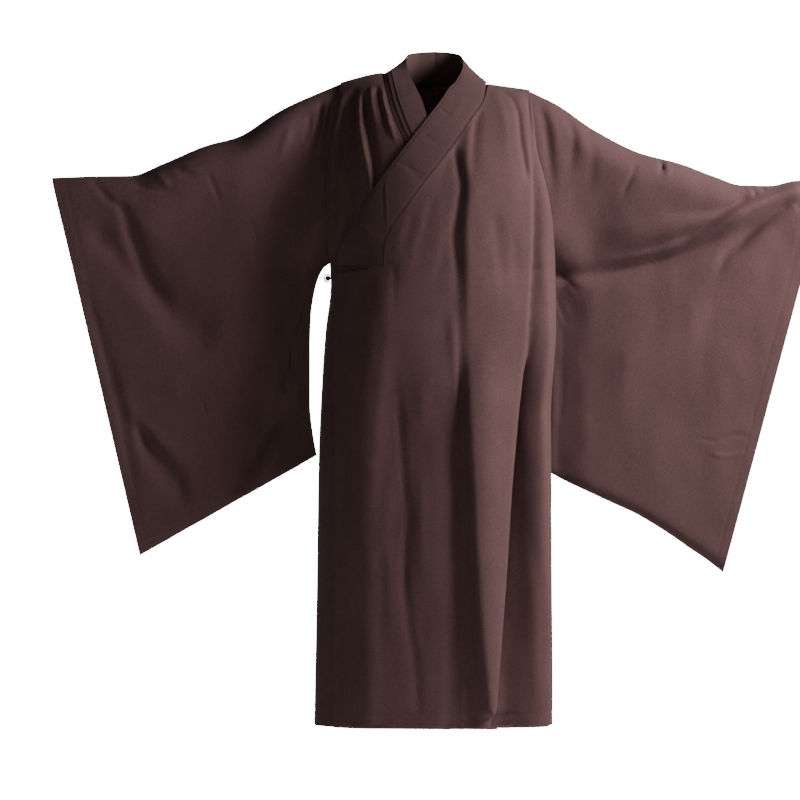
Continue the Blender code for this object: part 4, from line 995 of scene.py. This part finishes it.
# The left sleeve's finer folds and creases, in the same columns as the front's
LEFT_CREASES = (
    (((0.225, -0.408), (0.296, -0.411), (0.355, -0.402), (0.451, -0.380), (0.503, -0.362), (0.554, -0.338),
      (0.600, -0.306)), 0.012, 0.017, 0.8, 2, -0.0100, 0.06, 0.25),
    (((0.330, -0.383), (0.416, -0.357), (0.468, -0.340), (0.540, -0.309), (0.606, -0.268), (0.668, -0.243)),
     0.005, 0.008, 1.2, 2, -0.0060, 0.25, 0.15),
    (((0.300, -0.392), (0.416, -0.372), (0.503, -0.348), (0.575, -0.306), (0.640, -0.270), (0.700, -0.244),
      (0.740, -0.232)), 0.013, 0.009, 1.0, 2, 0.0085, 0.3, 0.1),
    (((0.440, -0.292), (0.503, -0.288), (0.560, -0.282), (0.600, -0.268), (0.630, -0.250)),
     0.012, 0.014, 0.7, 2, -0.0056, 0.4, 0.15),
    (((0.545, -0.440), (0.566, -0.404), (0.580, -0.372), (0.606, -0.350), (0.640, -0.315), (0.674, -0.287),
      (0.722, -0.258)), 0.012, 0.012, 0.8, 2, -0.0062, 0.4, 0.1),
    (((0.600, -0.380), (0.650, -0.335), (0.700, -0.296), (0.726, -0.276)), 0.012, 0.016, 0.9, 2, 0.0042, 0.3,
     0.1),
    (((0.592, -0.226), (0.612, -0.232), (0.630, -0.244)), 0.004, 0.004, 1.0, 2, -0.0052, 0.2, 0.3),
    (((0.604, -0.224), (0.622, -0.236), (0.640, -0.252)), 0.004, 0.004, 1.0, 2, 0.0040, 0.2, 0.3),
    (((0.626, -0.230), (0.634, -0.242), (0.642, -0.256)), 0.003, 0.004, 1.0, 2, -0.0050, 0.15, 0.3),
    (((0.644, -0.229), (0.654, -0.238), (0.664, -0.244)), 0.004, 0.004, 1.0, 2, -0.0048, 0.15, 0.3),
    (((0.440, -0.168), (0.452, -0.184), (0.453, -0.198), (0.444, -0.212)), 0.005, 0.003, 0.8, 2, -0.0068,
     0.15, 0.4),
    (((0.446, -0.165), (0.462, -0.186), (0.464, -0.204), (0.456, -0.222)), 0.004, 0.006, 0.9, 2, 0.0036, 0.2,
     0.4),
    (((0.402, -0.184), (0.392, -0.212), (0.378, -0.239), (0.366, -0.264)), 0.003, 0.005, 1.3, 2, -0.0030, 0.2,
     0.4),
    (((0.250, -0.076), (0.267, -0.104), (0.276, -0.142), (0.270, -0.192), (0.260, -0.224)),
     0.009, 0.009, 1.2, 2, -0.0034, 0.2, 0.5),
    (((0.218, -0.060), (0.236, -0.106), (0.244, -0.156), (0.246, -0.200)), 0.010, 0.010, 1.0, 2, 0.0026, 0.2,
     0.5),
    (((0.206, -0.054), (0.219, -0.117), (0.226, -0.172), (0.232, -0.222), (0.236, -0.270)),
     0.008, 0.009, 1.3, 2, -0.0040, 0.2, 0.4),
    (((0.284, -0.096), (0.290, -0.140), (0.290, -0.190)), 0.009, 0.010, 1.2, 2, 0.0016, 0.3, 0.5),
    (((0.304, -0.116), (0.306, -0.124), (0.310, -0.134)), 0.004, 0.004, 1.0, 2, -0.0036, 0.3, 0.3),
    (((0.318, -0.140), (0.312, -0.200), (0.300, -0.260)), 0.010, 0.010, 1.3, 2, -0.0024, 0.2, 0.5),
    (((0.240, -0.452), (0.254, -0.487), (0.268, -0.522)), 0.004, 0.006, 1.4, 2, -0.0010, 0.2, 0.5),
    (((0.245, -0.560), (0.250, -0.640), (0.246, -0.720)), 0.006, 0.008, 1.0, 2, -0.0014, 0.3, 0.3),
    (((0.562, -0.470), (0.590, -0.474), (0.614, -0.480)), 0.003, 0.003, 1.0, 2, 0.0014, 0.3, 0.4),
    (((0.490, -0.470), (0.508, -0.476), (0.526, -0.484)), 0.003, 0.003, 1.0, 2, 0.0014, 0.3, 0.4),
    (((0.510, -0.734), (0.560, -0.742), (0.600, -0.730), (0.650, -0.742)), 0.004, 0.004, 1.0, 2, -0.0016, 0.3,
     0.3),
    (((0.540, -0.762), (0.580, -0.772), (0.630, -0.764)), 0.004, 0.005, 1.0, 2, 0.0016, 0.3, 0.3),
    (((0.400, -0.470), (0.380, -0.600), (0.396, -0.740), (0.410, -0.840)), 0.024, 0.030, 1.2, 2, 0.0010, 0.4,
     0.3),
    (((0.490, -0.450), (0.486, -0.560), (0.480, -0.700), (0.476, -0.860)), 0.022, 0.026, 1.1, 2, -0.0010, 0.4,
     0.3),
    (((0.580, -0.480), (0.566, -0.620), (0.548, -0.760), (0.530, -0.920)), 0.022, 0.024, 1.0, 2, 0.0010, 0.4,
     0.3),
    (((0.300, -0.470), (0.304, -0.560), (0.320, -0.680), (0.330, -0.790)), 0.018, 0.022, 1.1, 2, -0.0008, 0.4,
     0.3),
    (((0.330, -0.416), (0.342, -0.424), (0.356, -0.436)), 0.003, 0.004, 1.0, 2, -0.0008, 0.3, 0.4),
    (((0.260, -0.424), (0.276, -0.436), (0.290, -0.452)), 0.003, 0.004, 1.0, 2, -0.0007, 0.3, 0.4),
)

# The right sleeve's finer folds and creases
RIGHT_CREASES = (
    (((-0.692, -0.214), (-0.668, -0.238), (-0.650, -0.260), (-0.629, -0.274), (-0.616, -0.294),
      (-0.604, -0.322)),
     0.007, 0.014, 1.2, 2, -0.0030, 0.12, 0.35),
    (((-0.676, -0.216), (-0.655, -0.238), (-0.634, -0.256), (-0.612, -0.270), (-0.598, -0.296)),
     0.010, 0.008, 1.1, 2, 0.0016, 0.1, 0.4),
    (((-0.690, -0.290), (-0.660, -0.340), (-0.636, -0.367), (-0.595, -0.420), (-0.557, -0.455),
      (-0.520, -0.478),
      (-0.470, -0.482), (-0.405, -0.462)), 0.022, 0.030, 1.0, 2, -0.0070, 0.15, 0.25),
    (((-0.612, -0.310), (-0.575, -0.352), (-0.550, -0.380), (-0.525, -0.420), (-0.494, -0.446),
      (-0.440, -0.450)),
     0.026, 0.020, 1.0, 2, -0.0034, 0.2, 0.4),
    (((-0.660, -0.300), (-0.620, -0.350), (-0.580, -0.392), (-0.548, -0.424)), 0.012, 0.014, 1.0, 2, 0.0014,
     0.3, 0.3),
    (((-0.704, -0.420), (-0.668, -0.540), (-0.634, -0.660), (-0.610, -0.780), (-0.594, -0.880)),
     0.010, 0.014, 1.0, 2, -0.0034, 0.2, 0.3),
    (((-0.454, -0.205), (-0.440, -0.236), (-0.423, -0.284)), 0.003, 0.004, 1.2, 2, -0.0026, 0.2, 0.5),
    (((-0.372, -0.296), (-0.362, -0.325), (-0.346, -0.374)), 0.003, 0.004, 1.2, 2, -0.0024, 0.2, 0.5),
    (((-0.612, -0.226), (-0.576, -0.236), (-0.536, -0.240), (-0.510, -0.236)), 0.006, 0.006, 1.0, 2, -0.0034,
     0.3, 0.4),
    (((-0.560, -0.208), (-0.540, -0.222), (-0.526, -0.244)), 0.005, 0.005, 1.0, 2, 0.0024, 0.3, 0.4),
    (((-0.520, -0.196), (-0.496, -0.208), (-0.470, -0.214)), 0.006, 0.006, 1.0, 2, -0.0026, 0.3, 0.4),
    (((-0.258, -0.470), (-0.268, -0.505), (-0.276, -0.540)), 0.003, 0.004, 1.2, 2, -0.0026, 0.2, 0.4),
    (((-0.286, -0.549), (-0.288, -0.590), (-0.302, -0.625), (-0.294, -0.659)), 0.004, 0.006, 1.0, 2, -0.0048,
     0.3, 0.3),
    (((-0.290, -0.620), (-0.302, -0.680), (-0.346, -0.740), (-0.374, -0.800), (-0.400, -0.858)),
     0.010, 0.016, 1.2, 2, -0.0062, 0.25, 0.15),
    (((-0.268, -0.600), (-0.276, -0.680), (-0.310, -0.760), (-0.340, -0.820)), 0.010, 0.010, 1.2, 2, 0.0036,
     0.3, 0.2),
    (((-0.612, -0.690), (-0.576, -0.740), (-0.540, -0.790), (-0.490, -0.842)), 0.018, 0.022, 1.0, 2, -0.0036,
     0.3, 0.3),
    (((-0.640, -0.640), (-0.590, -0.700), (-0.540, -0.750), (-0.480, -0.800)), 0.016, 0.012, 1.0, 2, 0.0028,
     0.3, 0.3),
    (((-0.466, -0.664), (-0.461, -0.676), (-0.458, -0.688)), 0.002, 0.003, 1.0, 2, -0.0024, 0.3, 0.4),
    (((-0.248, -0.088), (-0.252, -0.120), (-0.262, -0.160)), 0.006, 0.006, 1.2, 2, -0.0036, 0.2, 0.5),
    (((-0.226, -0.060), (-0.232, -0.106), (-0.244, -0.150), (-0.252, -0.180)), 0.006, 0.007, 1.2, 2, -0.0050,
     0.15, 0.5),
    (((-0.214, -0.060), (-0.221, -0.110), (-0.230, -0.170), (-0.236, -0.240)), 0.007, 0.006, 1.1, 2, 0.0040,
     0.15, 0.5),
    (((-0.286, -0.110), (-0.300, -0.150), (-0.318, -0.196)), 0.007, 0.008, 1.3, 2, 0.0026, 0.3, 0.5),
    (((-0.420, -0.360), (-0.410, -0.520), (-0.424, -0.680), (-0.440, -0.840)), 0.026, 0.030, 1.1, 2, 0.0012,
     0.4, 0.3),
    (((-0.350, -0.420), (-0.345, -0.540), (-0.360, -0.680), (-0.380, -0.800)), 0.022, 0.024, 1.0, 2, -0.0010,
     0.4, 0.4),
    (((-0.520, -0.560), (-0.510, -0.680), (-0.500, -0.790)), 0.024, 0.024, 1.0, 2, 0.0010, 0.4, 0.4),
    (((-0.230, -0.260), (-0.240, -0.340), (-0.246, -0.400)), 0.006, 0.008, 1.0, 2, 0.0026, 0.3, 0.3),
)


def swag_rise(swags, x, z):
    """Sum of swags: rise times exp(-(height off a shallow parabola / half width)^2), eased at both ends."""
    total = np.zeros(np.broadcast(x, z).shape)
    for x0, z0, _, z1, x2, z2, half_width, rise in swags:
        share = (x - x0) / (x2 - x0)
        line = z0 + (z2 - z0) * share + (z1 - (z0 + z2) / 2) * 4.0 * share * (1 - share)
        reach = ease(share / SWAG_ENDS) * ease((1 - share) / SWAG_ENDS)
        total = total + rise * reach * np.exp(-((z - line) / half_width) ** 2)
    return total


def armhole_depth(side, z):
    """How far the armhole reaches forward and back at a height, and nearly nothing below the armpit."""
    level = level_of(0.2 * side, z)
    share = rise_share(level)
    front = body_column(level, 3) * np.sqrt(np.clip(1.0 - share ** 3, 0.0, 1.0))
    back = body_column(level, 4) * np.sqrt(np.clip(1.0 - share ** 5, 0.0, 1.0))
    grow = opening_share(level)
    if side < 0:
        front_part = ARMHOLE_SHARE * grow
    else:
        flat = LIP_SHARE_LOW + (LIP_SHARE_HIGH - LIP_SHARE_LOW) * grow
        front_part = flat - (1.0 - flat) * np.sin(lip_turn(level))
    return front * front_part, back * ARMHOLE_SHARE * grow


def sleeve_section(length, arm, bag, down):
    """Half depth of the sleeve: a quarter circle over the arm, a fading swell below it, a round foot."""
    depth = down * length
    over = arm * np.sqrt(np.clip(1.0 - (1.0 - np.clip(depth / arm, 0, 1)) ** 2, 0, 1))
    below = bag + (arm - bag) * np.exp(-(np.clip(depth - arm, 0, None) / (2.6 * arm)) ** 1.5)
    left = np.clip((length - depth) / (1.6 * bag), 0, 1)
    return np.where(depth < arm, over, below) * np.sqrt(1.0 - (1.0 - left) ** 2)


def sleeve_panel(name, node, stations, inner_edge, swags, creases, side, steps, seed):
    """A sleeve: one panel folded over the arm, a ring of points for each place along it."""
    across = np.linspace(0.0, 1.0, steps + 1)
    run = np.abs(column(stations, 0) - stations[0][0])
    run = run / run[-1]
    top_x, top_z, low_x, low_z, arm, bag = [smooth(run, column(stations, k), across)[:,
                                                                                     None] for k in range(6)]
    pit = (ARMPIT + 0.006 - stations[0][1]) / (stations[0][3] - stations[0][1])
    upper = np.linspace(0.0, 1.0, 57) ** 1.55 * pit
    lower = pit + np.concatenate((np.linspace(0.0, 0.93, 92)[1:],
                                  (0.95, 0.965, 0.978, 0.988, 0.995, 1.0))) * (1 - pit)
    down = np.concatenate((upper, lower))[None, :]
    x = top_x + (low_x - top_x) * down
    z = top_z + (low_z - top_z) * down
    length = np.hypot(low_x - top_x, low_z - top_z)
    straight = stations[0][0] + (stations[0][2] - stations[0][0]) * down
    inner_z = stations[0][1] + (stations[0][3] - stations[0][1]) * down
    armhole = seam_across(side, level_of(0.2 * side, inner_z)) - side * ARMHOLE_TUCK
    free = smooth(-column(inner_edge, 0), column(inner_edge, 1), -inner_z)
    bow = np.where(inner_z > inner_edge[0][0], armhole, free) - straight
    x = x + bow * (1.0 - ease(across[:, None] / BOW_REACH))
    hang = sleeve_section(length, arm, bag, down)
    front_edge, back_edge = armhole_depth(side, inner_z - ARMHOLE_INSET * ease((-inner_z - 0.2) / 0.1))
    front_edge = np.maximum(front_edge - ARMHOLE_ROOM, ARMHOLE_CLOSED)
    back_edge = np.maximum(back_edge - ARMHOLE_ROOM, ARMHOLE_CLOSED)
    front_edge[0, [0, -1]] = back_edge[0, [0, -1]] = 0.0
    join = ease(across[:, None] / ARM_JOIN)
    tip = ease(down / 0.12) * ease((1 - down) / 0.12)
    cross = swag_rise(swags, x, z) * tip
    seat = ease(across[:, None] / 0.030) * ease(down / 0.010) * ease((1 - down) / 0.020)
    fine = crease_rise(creases, x, z)
    wave = 0.0012 * crumple(x, z, 0.090, 0.110, seed) + 0.0009 * crumple(x, z, 0.032, 0.050, seed + 1)
    cuff = hem_dent((1.0 - across[:, None]) * np.abs(stations[-1][0] - stations[0][0]), CUFF_DEPTH)
    near = -(front_edge * (1 - join) + hang * join) - cross - (fine + wave) * seat - cuff
    other = 0.0022 * crumple(x, z, 0.100, 0.120, seed + 2) + 0.0009 * crumple(x, z, 0.034, 0.050, seed + 3)
    far = back_edge * (1 - join) + hang * join - cross * 0.8 + (0.7 * crease_rise(creases, x + 0.03,
                                                                                  z + 0.02) + other) * seat
    far = far + cuff
    least = LEAST_HALF_ROOM * np.minimum(ease(across[:, None] / 0.03),
                                         ease(down / 0.02) * ease((1 - down) / 0.01))
    spare = np.clip(least * 2 - (far - near), 0.0, None) * (across[:, None] > 0.02)
    near, far = near - spare / 2, far + spare / 2
    points = np.concatenate((np.stack((x, near, z), axis=-1), np.stack((x, far, z), axis=-1)[:, -2:0:-1]),
                            axis=1)
    sleeve = cloth_shell(name, points, CLOTH, coffee_cloth, ring=True)
    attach(sleeve, "root")
    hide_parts(node)
    reach = np.abs(stations[-1][0] - stations[0][0])
    cuff_at = int(np.argmin(np.abs((1.0 - across) * reach - CUFF_DEPTH)))
    around = np.concatenate((points, points[:, :2]), axis=1)
    facing = around if side > 0 else around[::-1]
    row_at = cuff_at if side > 0 else steps - cuff_at
    lines = grid_rows(facing, CLOTH / 2, [(row_at, 1, points.shape[1] + 1)])
    stitches(name.replace("_cloth", "_thread"), lines)


sleeve_panel("sleeve_right_cloth", "sleeve_right", SLEEVE_RIGHT, INNER_RIGHT, SWAGS_RIGHT, RIGHT_CREASES,
             -1.0, 128,
             51)
sleeve_panel("sleeve_left_cloth", "sleeve_left", SLEEVE_LEFT, INNER_LEFT, SWAGS_LEFT, LEFT_CREASES, 1.0, 128,
             61)


# The collar: a long band of several layers of the same cloth, sewn on in two halves that meet
# at the centre back, the left lying over the right. Rows of stitches run along both edges,
# and three short rows cross the left half on the chest. It brings the stitching.
BAND = 0.0022
EDGE_ROW = 0.05
CHEST_STEPS = 22
NECK_STEPS = 9
FINER = 8
BAND_COLUMNS = 45
ROW_DENT = 0.00075
ROW_WIDTH = 0.0013

# The collar's rounding at the neck's left, mirrored for the right
# inner edge across, back, height; outer edge across, back, height
NECK = (
    (0.056, -0.006, 0.010, 0.1025, -0.006, -0.0240),
    (0.052, 0.034, 0.030, 0.0850, 0.036, -0.0250),
    (0.028, 0.054, 0.038, 0.0480, 0.0580, -0.0330),
    (0.000, 0.058, 0.040, 0.0000, 0.0665, -0.0360),
)

# How far the collar's outer edge lies above the table on each side, as the shoulders slope
NECK_LIFT = {1.0: (0.0, 0.0, 0.0, 0.0), -1.0: (0.016, 0.010, 0.004, 0.0)}

# The three cross rows: across and height of the middle; from and to, as shares of the width
CROSS_ROWS = ((0.024, -0.092, 0.14, 0.52), (-0.004, -0.148, 0.20, 0.72), (-0.042, -0.206, 0.10, 0.90))

# Creases of the band, in the same columns as the front's
BAND_CREASES = (
    (((-0.097, -0.222), (-0.095, -0.270), (-0.091, -0.326)), 0.0016, 0.0016, 1.0, 2, 0.0009, 0.2, 0.2),
    (((-0.101, -0.226), (-0.100, -0.270), (-0.096, -0.320)), 0.003, 0.002, 1.0, 2, -0.0007, 0.2, 0.3),
    (((-0.060, -0.188), (-0.040, -0.214), (-0.018, -0.232)), 0.006, 0.006, 1.0, 2, -0.0006, 0.3, 0.3),
    (((-0.150, -0.300), (-0.130, -0.330), (-0.106, -0.350)), 0.010, 0.010, 1.0, 2, 0.0012, 0.3, 0.3),
    (((-0.180, -0.352), (-0.150, -0.368), (-0.112, -0.376)), 0.009, 0.010, 1.0, 2, -0.0010, 0.3, 0.3),
    (((0.060, -0.062), (0.044, -0.084), (0.030, -0.110)), 0.008, 0.008, 1.0, 2, 0.0008, 0.3, 0.3),
)

# The band is the robe's own cloth, coloured darker than coffee_cloth: the darkening is painted shade.
band_cloth_painted_shade = cloth_material("band_cloth_painted_shade", (0.052, 0.027, 0.026), (0.098, 0.055, 0.054), 0.86, THREAD_PITCH,
                            0.35)


def chest_line(collar, edge, steps):
    """Places of a collar edge on the chest, evenly stepped along it, on the curve of its seam."""
    level, x = seam_by_level(collar, edge)
    count = len(collar)
    pick = np.interp(np.linspace(0, count - 1, steps), np.arange(count), level[:count])
    across = smooth(level, x, pick)
    return across, true_height(pick, across)


def band_on_chest(collar, side, lift, share, steps, creases=()):
    """The band over the chest: straight across between its two seams, laid on the front at the given lift."""
    in_x, in_z = chest_line(collar, 0, steps)
    out_x, out_z = chest_line(collar, 2, steps)
    x = in_x[:, None] * (1 - share) + out_x[:, None] * share
    z = in_z[:, None] * (1 - share) + out_z[:, None] * share
    drop = under_drop(x, z) if side < 0 else 0.0
    return front_point(x, z, lift - drop + (crease_rise(creases, x, z) if creases else 0.0))


def band_points(collar, side, lift, shares, creases=()):
    """The collar from its end over the chest to the centre back: the chest's part, then a smooth turn round
    the neck."""
    share = np.asarray(shares)[None, :]
    fine = band_on_chest(collar, side, lift, share, (CHEST_STEPS - 1) * FINER + 1, creases)
    coarse = band_on_chest(collar, side, lift, share, CHEST_STEPS)
    neck_in = np.array([row[:3] for row in NECK]) * (side, 1, 1)
    neck_out = np.array([row[3:] for row in NECK]) * (side, 1, 1)
    neck_in[-1, 0] = neck_out[-1, 0] = 0.0
    neck_out[:, 2] += NECK_LIFT[side]
    neck = neck_in[:, None] * (1 - share)[..., None] + neck_out[:, None] * share[..., None]
    path = np.concatenate((coarse[-2:], neck))
    middle = path.mean(axis=1)
    run = np.concatenate(([0.0], np.cumsum(np.linalg.norm(np.diff(middle, axis=0), axis=1))))
    along = np.linspace(run[1], run[-1], NECK_STEPS * FINER + 1)[1:]
    turned = np.stack([np.stack([smooth(run, path[:, j, k], along) for k in range(3)], axis=-1)
                       for j in range(path.shape[1])], axis=1)
    return np.concatenate((fine, turned))


def band_lines(points, outward, rows_at, thickness):
    """Lines for stitches along the band at some shares of its width, on its outer face."""
    columns = points.shape[1] - 1
    return [(points[:, round(s * columns)] + outward[:, round(s * columns)] * thickness / 2,
             outward[:, round(s * columns)]) for s in rows_at]


def collar_half(name, node, collar, side, lift, crosses):
    """Half of the collar band, with its stitched rows pressed in and their thread laid on it."""
    shares = np.linspace(0.0, 1.0, BAND_COLUMNS)
    points = band_points(collar, side, lift, shares, BAND_CREASES if side > 0 else ())
    run = np.concatenate(([0.0], np.cumsum(np.linalg.norm(np.diff(points[:, BAND_COLUMNS // 2], axis=0),
                                                          axis=1))))
    width = np.linalg.norm(points[:, -1] - points[:, 0], axis=1)[:, None]
    gap = np.minimum(np.abs(shares[None, :] - EDGE_ROW), np.abs(1.0 - EDGE_ROW - shares[None, :])) * width
    dent = np.exp(-(gap / ROW_WIDTH) ** 2)
    outward = -grid_normals(points)
    lines = band_lines(points, outward, (EDGE_ROW, 1.0 - EDGE_ROW), BAND - ROW_DENT)
    for across, height, first, last in crosses:
        middle = points[:, BAND_COLUMNS // 2]
        row = int(np.argmin((middle[:, 0] - across) ** 2 + (middle[:, 2] - height) ** 2))
        inside = ease((shares - first) / 0.04) * ease((last - shares) / 0.04)
        dent = np.maximum(dent, inside[None, :] * np.exp(-((run - run[row]) / ROW_WIDTH) ** 2)[:, None])
        picked = (shares >= first) & (shares <= last)
        lines.append((points[row, picked] + outward[row, picked] * (BAND - ROW_DENT) / 2,
                      outward[row, picked]))
    edge_round = ease(np.minimum(shares, 1 - shares) / 0.03) * 0.45 + 0.55
    puff = 0.00018 * crumple(run[:, None], shares[None, :] * 0.07, 0.012, 0.016, 71)
    thickness = (BAND + puff) * edge_round[None, :] - 2 * ROW_DENT * dent
    band = cloth_shell(name, points, thickness, band_cloth_painted_shade)
    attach(band, "root")
    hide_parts(node)
    stitches(name.replace("_cloth", "_thread"), lines)


collar_half("collar_left_cloth", "collar_left", COLLAR_LEFT, 1.0, LAP_LIFT, CROSS_ROWS)
collar_half("collar_right_cloth", "collar_right", COLLAR_RIGHT, -1.0, 0.0, ())


# Two narrower layers stepped on the right half of the collar, from under the crossing up to
# the neck, each with its own stitched edge.
LAYER = 0.0010
LAYER_START = 13

# width as a share of the band, lift off the band's middle
COLLAR_LAYERS = {
    "collar_layer_mid": (0.84, BAND / 2 + SEAM + LAYER / 2),
    "collar_layer_top": (0.68, BAND / 2 + 2 * SEAM + LAYER * 1.5),
}

for node, (reach, lift) in COLLAR_LAYERS.items():
    full = band_points(COLLAR_RIGHT, -1.0, 0.0, np.linspace(0.0, 1.0, BAND_COLUMNS))
    outward = -grid_normals(full)
    first = LAYER_START * FINER
    last = round(reach * (BAND_COLUMNS - 1)) + 1
    points = (full + outward * lift)[first:, :last]
    outward = outward[first:, :last]
    shares = np.linspace(0.0, 1.0, last)
    width = np.linalg.norm(points[:, -1] - points[:, 0], axis=1)[:, None]
    dent = np.exp(-((1.0 - 2 * EDGE_ROW - shares[None, :]) * width / ROW_WIDTH) ** 2)
    layer_piece = cloth_shell(node + "_cloth", points, LAYER - 0.00035 * dent, band_cloth_painted_shade)
    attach(layer_piece, "root")
    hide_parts(node)
    stitches(node + "_thread", band_lines(points, outward, (1.0 - 2 * EDGE_ROW,), LAYER - 0.0004))


# The fastening at the side: a knot of rolled cloth, and the rolled loop that is sewn flat on
# the lap under the collar's end and passes round the knot.
KNOT_CENTRE = (-0.2135, -0.0640, -0.4180)
KNOT_RADIUS = 0.0058
CORD_RADIUS = 0.0014
LOOP_STAND = 0.0018
COAT = 0.0016
CORD_SIDES = 14

# The cord is the robe's cloth rolled, coloured darker than coffee_cloth: the darkening is painted shade.
rolled_cloth_painted_shade = cloth_material("rolled_cloth_painted_shade", (0.040, 0.020, 0.018), (0.078, 0.042, 0.039), 0.84, 0.0004, 0.4)


def knot_button():
    """A ball wound of rolled cord: radius R (1 - 0.15 groove), the groove a soft ring along each of three
    slanted turns of cord round it."""
    lat, lon = np.meshgrid(np.linspace(0.02, math.pi - 0.02, 49), np.linspace(0.0, 2 * math.pi, 73)[:-1],
                           indexing="ij")
    place = np.stack((np.sin(lat) * np.cos(lon), np.sin(lat) * np.sin(lon), np.cos(lat)), axis=-1)
    groove = np.zeros(lat.shape)
    for axis in ((1.0, 0.2, 0.3), (-0.3, 1.0, 0.25), (0.2, -0.3, 1.0)):
        along = place @ (np.array(axis) / np.linalg.norm(axis))
        groove = np.maximum(groove, np.exp(-((np.abs(along) - 0.42) / 0.09) ** 2))
    radius = KNOT_RADIUS * (1.0 - 0.15 * groove)
    shell = np.array(KNOT_CENTRE) + place * radius[..., None]
    rows, columns = lat.shape
    i, j = np.meshgrid(np.arange(rows - 1), np.arange(columns), indexing="ij")
    k = (j + 1) % columns
    faces = np.stack((i * columns + j, (i + 1) * columns + j, (i + 1) * columns + k, i * columns + k),
                     axis=-1)
    poles = np.arange(columns - 3)
    top = np.stack((np.zeros_like(poles), poles + 1, poles + 2, poles + 3), axis=1)[::2]
    base = (rows - 1) * columns
    bottom = top[:, ::-1] + base
    bottom[:, -1] = base
    uv = np.stack((lon * KNOT_RADIUS, lat * KNOT_RADIUS), axis=-1).reshape(-1, 2)
    faces = np.concatenate((faces.reshape(-1, 4), top, bottom[:, [3, 0, 1, 2]]))
    ball = finish_mesh("knot_button_cloth", shell.reshape(-1, 3), faces, uv, rolled_cloth_painted_shade, 80.0)
    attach(ball, "root")
    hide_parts("knot_button")


def button_loop():
    """A rolled cord along the route: a ring of points at each step, its radius rippled by a slanted seam."""
    sewn_x = np.linspace(-0.126, -0.190, 9)
    sewn_z = -0.4000 + (-0.126 - sewn_x) * -0.12
    stand = SEAM + LOOP_STAND * np.linspace(0.0, 1.0, len(sewn_x))
    sewn = front_point(sewn_x, sewn_z, LAP_LIFT + COAT / 2 + CORD_RADIUS + stand)
    turn = np.linspace(math.radians(-8), math.radians(318), 12)[:-1]
    reach = KNOT_RADIUS + CORD_RADIUS + SEAM
    loop = np.array(KNOT_CENTRE) + np.stack((reach * np.cos(turn), 0.0 * turn, reach * np.sin(turn)), axis=-1)
    route = np.concatenate((sewn, loop))
    run = np.concatenate(([0.0], np.cumsum(np.linalg.norm(np.diff(route, axis=0), axis=1))))
    at = np.linspace(0.0, run[-1], 180)
    path = np.stack([smooth(run, route[:, k], at) for k in range(3)], axis=1)
    tangent = np.gradient(path, axis=0)
    tangent = tangent / np.linalg.norm(tangent, axis=1, keepdims=True)
    side = np.cross(tangent, (0.0, 1.0, 0.0))
    side = side / np.maximum(np.linalg.norm(side, axis=1, keepdims=True), 1e-9)
    up = np.cross(side, tangent)
    round_turn = np.linspace(0.0, 2 * math.pi, CORD_SIDES + 1)[:-1]
    ripple = 1.0 - 0.10 * np.exp(-(np.sin((round_turn[None, :] - at[:, None] / 0.0040) / 2) / 0.22) ** 2)
    end_round = np.clip(np.minimum(at, run[-1] - at) / CORD_RADIUS, 0.0, 1.0)
    size = CORD_RADIUS * ripple * np.sqrt(1.0 - (1.0 - end_round) ** 2 * 0.98)[:, None]
    points = (path[:, None] + size[..., None] * (np.cos(round_turn)[None, :, None] * side[:, None]
                                                 + np.sin(round_turn)[None, :, None] * up[:, None]))
    rows = len(at)
    i, j = np.meshgrid(np.arange(rows - 1), np.arange(CORD_SIDES), indexing="ij")
    k = (j + 1) % CORD_SIDES
    faces = np.stack((i * CORD_SIDES + j, i * CORD_SIDES + k, (i + 1) * CORD_SIDES + k,
                      (i + 1) * CORD_SIDES + j), -1)
    fan = np.arange(0, CORD_SIDES - 2, 2)
    start_cap = np.stack((np.zeros_like(fan), fan + 3, fan + 2, fan + 1), axis=1) % CORD_SIDES
    end_cap = start_cap[:, ::-1] + (rows - 1) * CORD_SIDES
    uv = np.stack(np.broadcast_arrays(round_turn[None, :] * CORD_RADIUS, at[:, None]), axis=-1).reshape(-1, 2)
    cord = finish_mesh("button_loop_cloth", points.reshape(-1, 3),
                       np.concatenate((faces.reshape(-1, 4), start_cap, end_cap)),
                       uv, rolled_cloth_painted_shade, 80.0)
    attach(cord, "root")
    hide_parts("button_loop")


knot_button()
button_loop()


# A small patch stitched all round, on the strip beside the lap's free edge.
TAB = (-0.2200, -0.2020, -0.770, -0.676)
TAB_LAYER = 0.0010
TAB_INSET = 0.0022

x, z = np.meshgrid(np.linspace(TAB[0], TAB[1], 25), np.linspace(TAB[2], TAB[3], 81))
tab_points = front_point(x, z, COAT / 2 + SEAM + TAB_LAYER / 2)
rim = np.minimum(np.minimum(x - TAB[0], TAB[1] - x), np.minimum(z - TAB[2], TAB[3] - z))
tab_thick = TAB_LAYER * (0.6 + 0.4 * ease(rim / 0.0012)) - 0.0004 * np.exp(-((rim - TAB_INSET) / 0.0009) ** 2)
side_tab = cloth_shell("side_tab_cloth", tab_points, tab_thick, coffee_cloth)
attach(side_tab, "root")
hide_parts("side_tab")
corner_x = np.array((TAB[0] + TAB_INSET, TAB[1] - TAB_INSET))
corner_z = np.array((TAB[2] + TAB_INSET, TAB[3] - TAB_INSET))
tab_lines = []
for from_x, from_z, to_x, to_z in ((0, 0, 1, 0), (1, 0, 1, 1), (1, 1, 0, 1), (0, 1, 0, 0)):
    share = np.linspace(0.0, 1.0, 30)
    row_x = corner_x[from_x] * (1 - share) + corner_x[to_x] * share
    row_z = corner_z[from_z] * (1 - share) + corner_z[to_z] * share
    on = front_point(row_x, row_z, COAT / 2 + SEAM + TAB_LAYER * 0.85)
    above = front_point(row_x, row_z, COAT / 2 + SEAM + TAB_LAYER * 1.85)
    tab_lines.append((on, above - on))
stitches("side_tab_thread", tab_lines)
